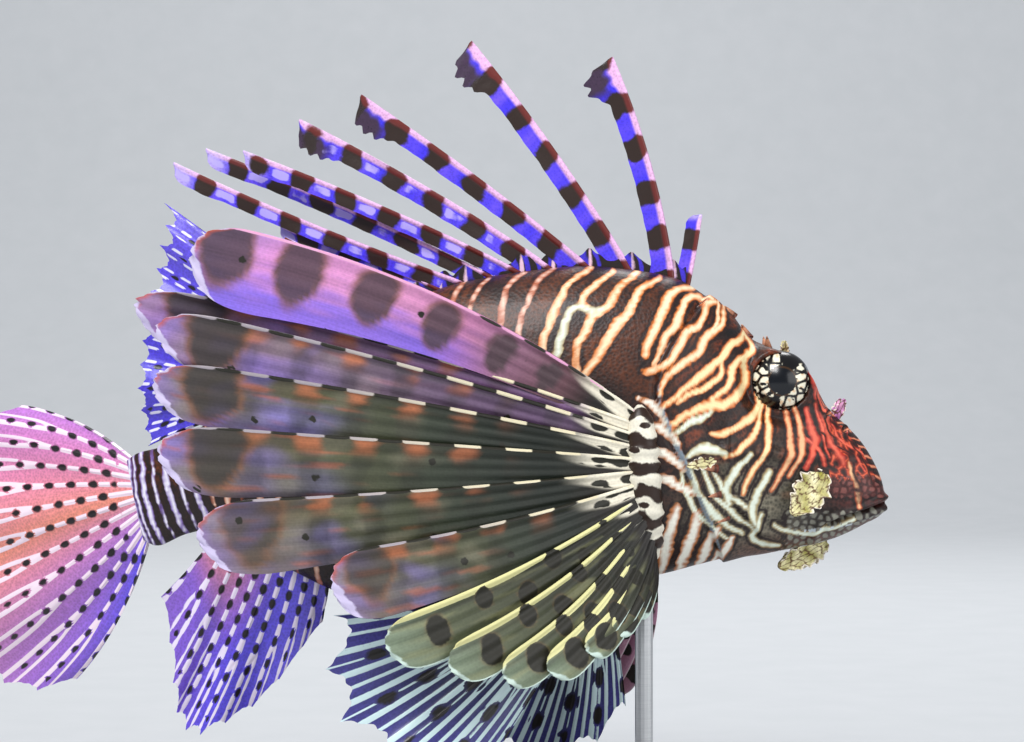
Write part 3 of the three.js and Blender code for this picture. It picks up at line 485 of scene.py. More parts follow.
def head_relief(x, z):
    """
    Height in millimetres of the head's forms over the plain body: gill cover, cheek ridge, the edge
    of the cheek plate, upper jaw, lips with the line of the mouth, and the nostrils.
    """
    gill = gill_distance(x, z)
    level = smooth(86, 94, z) * (1 - smooth(182, 190, z))
    height = level * (1.5 * smooth(-0.5, 0.5, gill) * (1 - smooth(0, 14, gill)) - 0.7 * bump(gill, -1.0, 0.8))
    share = np.clip((x - 112) / (64 - 112), 0, 1)
    ridge = np.hypot(x - blend(112, 64, share), z - blend(131, 134, share))
    height += 1.1 * bump(ridge, 0, 2.0) * (0.75 + 0.25 * np.cos(x * 1.1))
    side_view = np.column_stack([x.ravel(), z.ravel()])
    plate, along = line_distance(side_view,
                                 np.array([(70, 144), (69, 130), (73, 117), (82, 107), (92, 104)], float))
    height += (1.0 * bump(plate, 0, 1.3) * smooth(0, 0.1, along)
               * (1 - smooth(0.9, 1, along))).reshape(x.shape)
    brow, _ = line_distance(side_view, np.array([(101, 150), (103, 140), (98, 128), (84, 134)], float))
    height += (0.7 * bump(brow, 0, 1.6)).reshape(x.shape)
    mouth = z - np.interp(x, MOUTH_LINE[::-1, 0], MOUTH_LINE[::-1, 1])
    corner = smooth(101.5, 105, x)
    height += corner * (1.25 * bump(np.abs(mouth), 1.7, 1.15) - 1.5 * bump(mouth, 0, 0.42))
    jaw, _ = line_distance(side_view, np.array([(119, 120), (110, 115.5), (101, 109.5), (99.5, 104)], float))
    height += (0.9 * bump(jaw, 0, 1.7)).reshape(x.shape)
    for nostril_x, nostril_z in ((109.6, 140.2), (103.8, 145.4)):
        away = np.hypot(x - nostril_x, z - nostril_z)
        height += 0.8 * bump(away, 1.3, 0.55) - 1.3 * bump(away, 0, 0.7)
    return height


def lid_shape(points):
    """
    Sets the skin round each eye: under the ball it lies inside it, at the rim it rolls over the ball
    as a lid, and outside it falls back to the body along a cubic.
    """
    x, y, z = points[..., 0], points[..., 1], points[..., 2]
    away = np.hypot(x - EYE_X, z - EYE_Z)
    ball = EYE_SIDE + EYE_DEPTH * np.sqrt(np.clip(1 - (away / EYE_RADIUS) ** 2, 0, 1))
    lid = 13.9 + 0.9 * bump(away, 10.4, 0.9) - 0.22 * (away - 10.4)
    target = np.where(away < 9.3, np.minimum(ball - 1.0, 13.2 + 0.7 * smooth(8.6, 9.3, away)), lid)
    reach = (1 - smooth(10.6, 15.5, away)) * smooth(1.0, 6.5, np.abs(y))
    moved = np.abs(y) + (target - np.abs(y)) * reach
    points[..., 1] = np.sign(y) * moved
    return points


def skin_paint(x, z, side):
    """Signed distance to the nearest pale line over a millimetre scale, and the two colours there."""
    drift = np.stack([wander(np.stack([x, z, 40 * side], -1), 8.0, 3),
                      wander(np.stack([x, z, 40 * side], -1), 8.0, 4)], -1)
    fine = np.stack([wander(np.stack([x, z, 40 * side], -1), 3.4, 5),
                     wander(np.stack([x, z, 40 * side], -1), 3.4, 6)], -1)
    flat = np.stack([x, z], -1) + 0.38 * drift + 0.13 * fine
    flat = flat.reshape(-1, 2)
    fray = wander(flat, 2.6, 12)
    best = np.full(len(flat), 9.0)
    colour = np.tile(to_linear(LINE_COLOURS["rose"][0]), (len(flat), 1))
    for half, key, points in pale_lines():
        line = through(np.array(points, float), np.linspace(0, len(points) - 1, 4 * len(points)))
        low, high = line.min(axis=0) - 4, line.max(axis=0) + 4
        near = np.flatnonzero(((flat > low) & (flat < high)).all(axis=1))
        away, share = line_distance(flat[near], line)
        away = away - LINE_GROWTH[key] * half * (0.6 + 0.4 * np.sin(np.pi * np.clip(share, 0.05, 0.95)))
        away = away + 0.24 * half * fray[near]
        closer = away < best[near]
        best[near[closer]] = away[closer]
        rim, core = (to_linear(text) for text in LINE_COLOURS[key])
        colour[near[closer]] = blend(rim, core, smooth(0.08, 0.9, -away[closer] / half)[:, None])
    return best.reshape(x.shape), colour.reshape(x.shape + (3,))


def pale_lines():
    """The listed lines, in millimetres, and in loops those of the rear flank and the tail stem."""
    origin_x, origin_y = PHOTO_ORIGIN_PX
    lines = [
        (round(half / PHOTO_PX_PER_MM, 1), key, [
            (round((x - origin_x) / PHOTO_PX_PER_MM, 1), round((origin_y - y) / PHOTO_PX_PER_MM, 1)) for x,
            y in points
        ]) for half, key, points in SKIN_LINES_PX
    ]
    for k, x in enumerate(np.arange(-26.0, -84.0, -7.6)):
        top, foot = edge_height(x), edge_height(x - 2, upper=False)
        middle = (top + foot) / 2
        lean = 5.5 + 1.5 * np.sin(2.3 * k)
        lines.append((0.8 + 0.25 * (k % 2), "rose", [
            (x, top + 1), (x - lean, blend(top, middle, 0.5)), (x - lean - 1, middle),
            (x - 0.5 * lean, blend(foot, middle, 0.5)), (x, foot - 1),
        ]))
    for k, place in enumerate(np.arange(21.0, 25.0, 0.4)):
        upper, lower = body_point(np.array([place]), np.array([0.0]))[0], body_point(np.array([place]),
                                                                                     np.array([np.pi]))[0]
        bow = 2.2 * np.sin(np.pi * np.array([0, 0.25, 0.5, 0.75, 1]))
        share = np.array([-0.03, 0.25, 0.5, 0.75, 1.03])
        lines.append((0.5 + 0.42 * (k % 2), "lilac" if place > 22 else "rose",
                      list(zip(blend(upper[0], lower[0], share) - bow, blend(upper[2], lower[2], share)))))
    return lines


def snout_paint(x, z, away, pale):
    """Adds the net of fine lines between cells on snout and jaw, and two rows of pale beads on the jaw."""
    flat = np.stack([x, z], -1).reshape(-1, 2)
    turned = flat @ np.array([(0.72, 0.69), (-0.69, 0.72)]).T + 0.3 * wander(flat, 5.0, 9)[:, None]
    first, second = cells(turned * (1.0, 0.5), 2.2, 5)
    lines = ((second - first) / 2 - 0.24).reshape(x.shape)
    first, second = cells(flat * (1.0, 1.15), 2.5, 8)
    scales = (0.3 - (second - first) / 2).reshape(x.shape)
    upper = smooth(100, 105, x) * smooth(118, 125, z)
    cheek = smooth(90, 98, x) * (1 - smooth(124, 130, z)) * smooth(115, 119, z)
    lower = smooth(84, 92, x) * (1 - smooth(113, 117, z))
    for share, net, key in ((upper, lines, "coral"), (cheek, scales, "maroon"), (lower, scales, "steel")):
        here = net + 3 * (1 - np.clip(share, 0, 1))
        rim, core = (to_linear(text) for text in NET_COLOURS[key])
        pale = np.where((here < away)[..., None], blend(rim, core, smooth(0, 0.2, -net)[..., None]), pale)
        away = np.minimum(away, here)
    for start, end in BEAD_ROWS:
        along = unit(np.array(end) - start)
        step = (flat - start) @ along
        offset = np.abs((flat - start) @ np.array([-along[1], along[0]]))
        bead = np.maximum(offset - 0.75, np.abs(step % 3.1 - 1.55) - 1.2)
        length = np.linalg.norm(np.array(end) - start)
        bead = np.where((step < -1) | (step > length), 9.0, bead).reshape(x.shape)
        pale = np.where((bead < away)[..., None], to_linear("#cdd6dc"), pale)
        away = np.minimum(away, bead)
    return away, pale


def crest_paint(points, away, pale):
    """Lines that run across the forehead and the bridge of the snout, in place of the side's lines."""
    x, z = points[..., 0], points[..., 2]
    middle = np.abs(points[..., 1] - bend_at(x))
    down = 0.6 * (x - 92) - 0.8 * (z - 163) + 0.05 * middle ** 2 + 0.5 * wander(points, 5.0, 23)
    across = np.abs((down / 3.7) % 1 - 0.5) * 3.7 - 0.62 - 0.2 * wander(points, 3.0, 25)
    inside = (middle < 7.4 + 0.6 * wander(points, 3.0, 24)) & (x > 84) & (z > 128 + 0.5 * (110 - x))
    rim, core = (to_linear(text) for text in CREST_COLOURS)
    tone = blend(rim, core, smooth(0, 0.5, -across)[..., None])
    # Beside them dark lines run down the face, which part what would be one broad red field
    beside = ((np.abs((middle + 0.5 * wander(points, 4.0, 26)) % 2.5 - 1.25) - 0.42) * smooth(88, 92, x)
              * smooth(116, 122, z))
    parted = np.where((middle < 13.5) & (x > 88) & (z > 116), np.maximum(away, -beside), away)
    return np.where(inside, across, parted), np.where(inside[..., None], tone, pale)


class LIONFISH_OT_skin(Operator):
    """Makes the skin of head, jaw, flanks and tail stem as one closed surface."""

    bl_idname = "lionfish.skin"
    bl_label = "Skin"

    def execute(self, context):
        sizes, colours = context.scene.lionfish_sizes, context.scene.lionfish_colours
        places = np.concatenate([
            np.linspace(0, HEAD_END_PLACE, HEAD_RINGS, endpoint=False),
            np.linspace(HEAD_END_PLACE, len(SECTIONS) - 1, BODY_RINGS),
        ])
        turns = np.linspace(0, 2 * np.pi, AROUND, endpoint=False)
        place, turn = np.meshgrid(places, turns, indexing="ij")
        points = body_point(place, turn)
        normal = unit(np.cross(np.gradient(points, axis=0), np.roll(points, -1, 1) - np.roll(points, 1, 1)))
        outward = np.sign((normal * (points - points.mean(axis=1, keepdims=True))).sum(-1, keepdims=True))
        x, y, z = points[..., 0], points[..., 1], points[..., 2]
        side = np.where(y > bend_at(x), 1.0, -1.0)
        relief = head_relief(x, z) * smooth(0.0, 5.0, np.abs(y - bend_at(x)) + 2.2 * smooth(119, 123, x))
        relief *= smooth(0, 0.25, place + 0.05)
        points = lid_shape(points + normal * outward * relief[..., None])
        away, pale = skin_paint(x, z, side)
        gill = np.abs(gill_distance(x, z) - 0.4) - 0.85 * smooth(96, 112, z) * (1 - smooth(140, 156, z))
        steel = (gill < away) & (z < 156) & (z > 96)
        away = np.where(steel, gill, away)
        pale = np.where(steel[..., None], to_linear("#8794a0"), pale)
        dark, rust, night = (np.array(tone[:]) for tone in (colours.flank, colours.rust, colours.crown))
        height = (z - edge_height(x, upper=False)) / (edge_height(x) - edge_height(x, upper=False))
        ground = blend(dark, rust,
                       (0.5 + 0.5 * wander(points, 16.0, 8))[..., None]
                       * smooth(0.25, 0.9, height)[..., None])
        ground = blend(ground, night, (smooth(58, 70, x) * (1 - smooth(96, 108, x)) * 0.6)[..., None])
        # Warm brown lies in patches between the lines of the head
        warm = smooth(-0.1, 0.7, wander(points, 6.0, 18)) * smooth(40, 62, x) * (1 - smooth(100, 108, x))
        ground = blend(ground, to_linear("#6a2a0c"), (0.8 * warm * smooth(112, 124, z))[..., None])
        snout = smooth(98, 108, x) * smooth(112, 120, z)
        ground = blend(ground, to_linear("#4a1412"), (0.85 * snout)[..., None])
        cheek = bump(np.hypot((x - 77) / 1.25, z - 116), 0, 13)
        ground = blend(ground, to_linear("#857f6c"), (0.8 * cheek)[..., None])
        belly = 1 - smooth(0.0, 0.14, height)
        ground = blend(ground, to_linear("#7a4a3c"), (0.6 * belly * smooth(60, 90, x))[..., None])
        away, pale = snout_paint(x, z, away, pale)
        away, pale = crest_paint(points, away, pale)
        shell = Shell()
        shell.add(
            loft(points), ground=ground, mark=to_linear("#1a0705"), pale=pale,
            light=0.5 - 0.5 * np.clip(away, -1.5, 2.0), field=0.42 * bump(away, 0.75, 0.6) + 0.25,
            across=0.0, opacity=1.0,
        )
        # Painted cast skin: small scales in low relief break its satin lights into fine grains
        skin = painted("painted scaled skin", 0.48, sizes.scale_size, 0.18, 0.2, 0.16, coat=0.1, fleck=1.5)
        shell.build("skin", skin, "skin_body", ("head", "lower_jaw", "trunk", "tail_stem"))
        return {"FINISHED"}


# Eyes

IRIS_PATCHES = [
    # angle from the front of the fish upward, spread of the angle, inner and outer radius
    (112, 22, 5.2, 9.4), (165, 20, 4.6, 9.6), (206, 14, 5.0, 9.0), (283, 17, 4.6, 9.2), (320, 17, 4.5, 8.8),
    (2, 20, 4.7, 9.0), (36, 8, 5.4, 8.6), (236, 5, 4.4, 6.2),
]


def eye_surface(side):
    """Half an ellipsoid and its back: rings by distance from the outer pole, which bulges as a cornea."""
    polar, turn = np.meshgrid(np.linspace(0.004, np.pi - 0.02, 130),
                              np.linspace(0, 2 * np.pi, 144, endpoint=False),
                              indexing="ij")
    out = EYE_DEPTH * np.cos(polar) * np.where(polar < np.pi / 2, 1, 0.8)
    radius = EYE_RADIUS * np.sin(polar)
    out = out + 0.5 * bump(radius, 0, 5.0) * (polar < np.pi / 2)
    points = np.stack([EYE_X + radius * np.cos(turn), side * (EYE_SIDE + out), EYE_Z + radius * np.sin(turn)],
                      -1)
    if side == LEFT:
        points, radius, turn, polar = points[:, ::-1], radius[:, ::-1], turn[:, ::-1], polar[:, ::-1]
    return points, radius, turn, polar


class LIONFISH_OT_eyes(Operator):
    """Makes both eyeballs with their pupils and patched irises."""

    bl_idname = "lionfish.eyes"
    bl_label = "Eyes"

    def execute(self, context):
        # Smooth glass eye: sharp small lights over the painted iris make it look wet
        finish = painted("glass eye", 0.22, 0.5, 0.0, 0.16, 0.1, coat=0.15, fleck=0.1)
        for side, name in ((RIGHT, "eye_right"), (LEFT, "eye_left")):
            points, radius, turn, polar = eye_surface(side)
            angle = np.degrees(turn)
            flat = np.stack([points[..., 0], points[..., 2]], -1)
            ragged = 0.5 * wander(flat, 2.2, 21) + 0.35 * wander(flat, 1.1, 22)
            patch = np.full(radius.shape, 9.0)
            for middle, spread, inner, outer in IRIS_PATCHES:
                turned = np.abs((angle - middle + 180) % 360 - 180)
                across = (turned - spread) / 57.3 * radius
                within = np.maximum(inner - radius, radius - outer)
                patch = np.minimum(patch, np.maximum(across, within) + 0.6 * ragged)
            # Black veins part the patches into blobs
            first, second = cells(flat.reshape(-1, 2) + 40 * (side == LEFT), 3.7, 31)
            patch = np.maximum(patch, 0.4 - (second - first).reshape(patch.shape) / 2)
            pupil = radius - 4.4 - 0.12 * wander(flat, 3.0, 23)
            rim = (radius > 9.2) & (polar < np.pi / 2) & (np.abs((angle - 90 + 180) % 360 - 180) > 55)
            ground = np.where(rim[..., None], to_linear("#6d7278"), to_linear("#0b090a"))
            ground = np.where((np.abs(pupil - 0.35) < 0.3)[..., None], to_linear("#3a2410"), ground)
            ground = np.where((pupil < 0)[..., None], to_linear("#02060f"), ground)
            cream = blend(to_linear("#faf4dc"), to_linear("#e8a04e"),
                          smooth(0.2, 0.9, wander(flat, 2.0, 24))[..., None] * 0.5)
            shell = Shell()
            shell.add(loft(points), ground=ground, mark=to_linear("#0d0a0c"), pale=cream, field=0.0,
                      light=0.5 - 0.5 * np.clip(np.where(polar < np.pi / 2, patch, 2.0), -1, 1.4), across=0.0,
                      opacity=1.0)
            shell.build(name, finish, "eye", (name,))
        return {"FINISHED"}


# Growths of the head

HEAD_SPINES = [
    # x, z, length, radius, rise, lean
    (78.5, 171.5, 4.5, 1.6, 62, 20), (73.0, 178.5, 4.0, 1.5, 48, 16), (85.0, 167.5, 4.5, 1.5, 80, 30),
    (65.5, 128.0, 5.0, 1.5, 4, 22), (66.5, 119.5, 4.5, 1.5, -12, 22), (69.5, 111.5, 4.0, 1.4, -24, 22),
]
HEAD_FLAPS = [
    # x, z, length, width, rise, lean
    (107.8, 144.5, 7, 3.4, 112, 25), (91.0, 166.0, 4.5, 2.4, 84, 35), (101.5, 125.0, 17, 11.5, -50, 20),
    (65.0, 130.5, 9, 4.0, -12, 20), (103.8, 101.8, 17, 8.0, -27, 8),
]


def cone(root, forward, length, radius):
    """A spine: rings along a straight axis whose radius falls with a power of the length."""
    share, turn = np.meshgrid(np.linspace(0, 1, 12), np.linspace(0, 2 * np.pi, 12, endpoint=False),
                              indexing="ij")
    side = unit(np.cross(forward, (0.3, 0.1, 0.9)))
    other = np.cross(forward, side)
    girth = radius * (1 - share) ** 0.8 + 0.06
    return (root + forward * (share * length)[..., None] + side * (girth * np.cos(turn))[..., None]
            + other * (girth * np.sin(turn))[..., None])


def leaf(root, forward, across, length, width, seed):
    """
    A skin flap: a sheet whose half width is a sine of the length with lobes on its edge, cupped
    and waved across. Gives the middle surface, the shares along and across, and the half width.
    """
    along, out = np.meshgrid(np.linspace(0, 1, 44), np.linspace(-1, 1, 25), indexing="ij")
    lobes = 1 + 0.14 * np.sin(along * 24 + seed) + 0.08 * np.sin(along * 41 + 2 * seed)
    half = width / 2 * lobes * (0.22 + 0.78 * np.sin(np.pi * 0.95 * along ** 0.85) ** 0.7)
    normal = np.cross(forward, across)
    lift = 0.10 * width * out ** 2 + 0.05 * width * np.sin(along * 13 + 3 * out + seed) * np.abs(out)
    reach = length * along * (1 - 0.10 * np.abs(out) ** 2)
    middle = root + forward * reach[..., None] + across * (half * out)[..., None] + normal * lift[..., None]
    return middle, along, out, half


class LIONFISH_OT_growths(Operator):
    """Makes the small spines and the leafy flaps of the head."""

    bl_idname = "lionfish.growths"
    bl_label = "Head growths"

    def execute(self, context):
        flaps, spines = Shell(), Shell()
        for side in (RIGHT, LEFT):
            for number, (x, z, length, width, rise, lean) in enumerate(HEAD_FLAPS):
                forward = heading(rise, lean, side)
                across = unit(np.cross(forward, (0, 1, 0)))
                root = skin_point(np.float64(x), np.float64(z), side) - forward * 1.5
                middle, along, out, half = leaf(root, forward, across, length + 1.5, width, number + 2 * side)
                flat = np.stack([along * length, out * half], -1)
                first, second = cells(flat.reshape(-1, 2) * (0.42, 1.0), 1.35, number + 3)
                veins = ((second - first) / 2).reshape(along.shape)
                tone = (0.5 + 0.5 * wander(flat, 5.0, 31 + number))[..., None]
                ground = blend(to_linear("#efe6b8"), to_linear("#a39c4c"), tone)
                if number == 0:
                    ground = blend(to_linear("#e7a6cf"), to_linear("#b06ab0"), tone)
                rim = smooth(0.82, 1.0, np.abs(out))[..., None]
                flaps.add(
                    sheet(middle, 0.85 - 0.45 * np.abs(out) ** 3 - 0.2 * along),
                    ground=blend(ground, to_linear("#f3e9da"), rim),
                    mark=to_linear("#5c3a1c"), pale=to_linear("#f5ecdc"), field=0.5 - 1.3 * (veins - 0.1),
                    light=0.0, across=out * half, opacity=1.0,
                )
            for x, z, length, radius, rise, lean in HEAD_SPINES:
                forward = heading(rise, lean, side)
                root = skin_point(np.float64(x), np.float64(z), side) - forward * 1.2
                rings = cone(root, forward, length + 1.2, radius)
                share = np.linspace(0, 1, len(rings))[:, None] * np.ones(rings.shape[1])
                spines.add(
                    loft(rings if side == RIGHT else rings[:, ::-1]),
                    ground=blend(to_linear("#5c2014"), to_linear("#e0a07c"), share[..., None]),
                    mark=to_linear("#2a0c08"), pale=to_linear("#f0d8c0"),
                    field=0.25 + 0.3 * np.sin(share * 9),
                    light=0.0, across=0.0, opacity=1.0,
                )
        # Leathery skin of the flaps: a fine grain and no coat keep its lights soft
        flap_finish = painted("leathery skin flap", 0.5, 0.9, 0.1, 0.3, 0.12)
        flaps.build("head_flaps", flap_finish, "skin_head")
        # Hard painted spines: smoother than the skin, so that each tip catches a light
        spine_finish = painted("painted head spine", 0.4, 0.7, 0.05, 0.2, 0.15)
        spines.build("head_spines", spine_finish, "skin_head")
        return {"FINISHED"}


# Fins

MEMBRANE = 0.42
ROOT_SINK = 3.0
# Pectoral rays from the uppermost down: rise, length, lean, width at the tip, sweep of the curve
PECTORAL_RAYS = np.array([
    (24.6, 149, 14.8, 24, -12), (16.2, 156, 11.6, 19, -4), (15.6, 150, 15.3, 19, -3),
    (10.8, 149, 15.8, 20, -2),
    (4.6, 146, 16.2, 23, 0), (-3.6, 136, 16.8, 25, 2), (-12.2, 102, 21.1, 24, 5), (-25.6, 94, 21.7, 19, 8),
    (-34.6, 81, 23.5, 16, 11), (-43.5, 70, 25.7, 14, 13), (-50.1, 58, 28.0, 13, 15),
    (-55.4, 44, 30.8, 11, 17),
    (-59.9, 32, 35.0, 9, 18), (-64.4, 21, 40.0, 8, 18),
])
PETAL_REACH, PETAL_MIDDLE, PETAL_SHIFT = (0.935, 1.075, 1.035), 0.55, 2.0
LEFT_RAY_DROP, LEFT_RAY_GROWTH, FIRST_DROPPED_RAY = 2.2, 6.6, 6
PECTORAL_TOP, PECTORAL_FOOT = np.array([41.5, 146.0]), np.array([45.0, 99.0])
# Dorsal spines from the first: root x, rise, length, ribbon width, lean, flare of the tip flag, bow
DORSAL_SPINES = [
    (59.3, 100.0, 24, 5.0, 0, 0.1, 2), (54.0, 74.4, 77, 7.0, 3.0, 0.7, 8),
    (40.0, 55.2, 94, 7.0, -2.4, 0.6, 4.5),
    (26.0, 36.8, 95, 6.6, 3.0, 0.45, 3), (13.7, 30.6, 99, 6.6, -2.9, 0.3, 4.5),
    (3.2, 23.5, 101, 5.4, 2.3, 0.1, 3.5),
    (-6.2, 24.1, 106, 5.2, -3.3, 0.1, 3), (-15.3, 22.2, 105, 5.2, 1.6, 0.1, -3),
    (-23.7, 22.0, 58, 4.8, -2.0, 0.1, 2),
    (-32.3, 26.0, 48, 4.8, 3.0, 0.1, 2), (-40.7, 29.0, 40, 4.4, -3.0, 0.1, 2),
    (-48.4, 33.0, 36, 4.0, 2.0, 0.1, 2),
]
WEB_START_X, WEB_END_X = 58.0, -51.0
PELVIC_RAYS = {
    RIGHT: [(-60, 74), (-52, 86), (-42, 94), (-31, 98), (-20, 93), (-9, 83)],
    LEFT: [(-101, 60), (-92, 73), (-83, 79), (-74, 82), (-64, 80), (-55, 72)],
}
ANAL_RAYS = [(-80, 12), (-78, 22), (-75, 36), (-72, 49), (-69, 58), (-67, 65), (-66, 67), (-65, 63),
             (-64, 54),
             (-60, 43), (-48, 31)]


def bent_ray(root, start, end, length, t):
    """A ray that leaves its root in one heading and ends in another: a parabola in its share of length."""
    t = np.asarray(t)[..., None]
    return root + start * (length * t) + (end - start) * (length * t * t / 2)


def blade(root, start, end, length, t, s, width, reach, shift, across):
    """Middle surface of a ray and the membrane behind it: the ray's curve plus a share of the width."""
    along = t * reach
    forward = unit(start + (end - start) * along[..., None])
    sideways = unit(across(forward))
    behind = np.cross(forward, sideways)
    return (bent_ray(root, start, end, length, along) + sideways * (s * width)[..., None]
            + behind * (shift * np.minimum(4 * t, 1))[..., None])


def tones(*pairs):
    """Stops of a colour run: places and the linear colours at them."""
    return np.array([place for place, _ in pairs]), np.array([to_linear(text) for _, text in pairs])


def run_of(stops, value):
    """Colour of a run at each value, straight between its stops."""
    places, colours = stops
    return np.stack([np.interp(value, places, colours[:, k]) for k in range(3)], -1)


def pectoral_root(share, side):
    """Root of a ray: a line down the flank behind the gill opening, a little outside the skin."""
    x, z = blend(PECTORAL_TOP, PECTORAL_FOOT, share)
    return np.array([x, side * (half_width(np.float64(x), np.float64(z)) + 1), z])


UPPER_PANEL = tones((0, "#3a2018"), (0.2, "#6a4650"), (0.3, "#8c6078"), (0.42, "#bc78a2"), (0.6, "#dd94c2"),
                    (0.85, "#d68fcb"), (1, "#b08ad4"))
OLIVE_PANEL = tones((0, "#12150f"), (0.28, "#1c231b"), (0.45, "#31382a"), (0.68, "#55563a"), (0.9, "#6c5e50"),
                    (1, "#8c78ac"))
LOWER_PANEL = tones((0, "#14120a"), (0.3, "#22241a"), (0.55, "#3c3f2b"), (0.8, "#565c44"), (1, "#7f8e76"))


# How much violet shines inward of the tip blotch, and how dark that blotch is, for the long panels in turn
PANEL_GLOW = (0, 0.7, 0.7, 0.6, 0.3, 0.2, 0.3)
PANEL_BLOT = (0.92, 0.9, 0.92, 0.9, 0.9, 0.6, 0.75)


def panel_spots(number, length):
    """Blotches of a panel: distance along, share across, radius, and how much they narrow rearward."""
    if number == 0:
        return [
            (33, 0.5, 3.8, 0.2), (51, 0.5, 5.2, 0.3), (73, 0.46, 6.4, 0.5), (98, 0.42, 7.6, 0.6), (124, 0.4, 8.6, 0.6),
            (149, 0.32, 9.2, 0.3),
        ]
    if number < 7:
        return [(length * 0.95, 0.34, 9.4 if number < 6 else 7.5, 0.3)]
    return [
        (length * 0.89, 0.5, 3.9, 0), (length * 0.7, 0.26, 3.0, 0), (length * 0.55, 0.66, 3.2, 0),
        (length * 0.42, 0.2, 2.7, 0), (length * 0.31, 0.66, 2.5, 0), (length * 0.2, 0.3, 2.2, 0),
    ]


def wide_line(t):
    """Half width of the pale line that a short panel's ray carries, growing with the share of its length."""
    return blend(0.8, 1.6, smooth(0.2, 0.6, t))


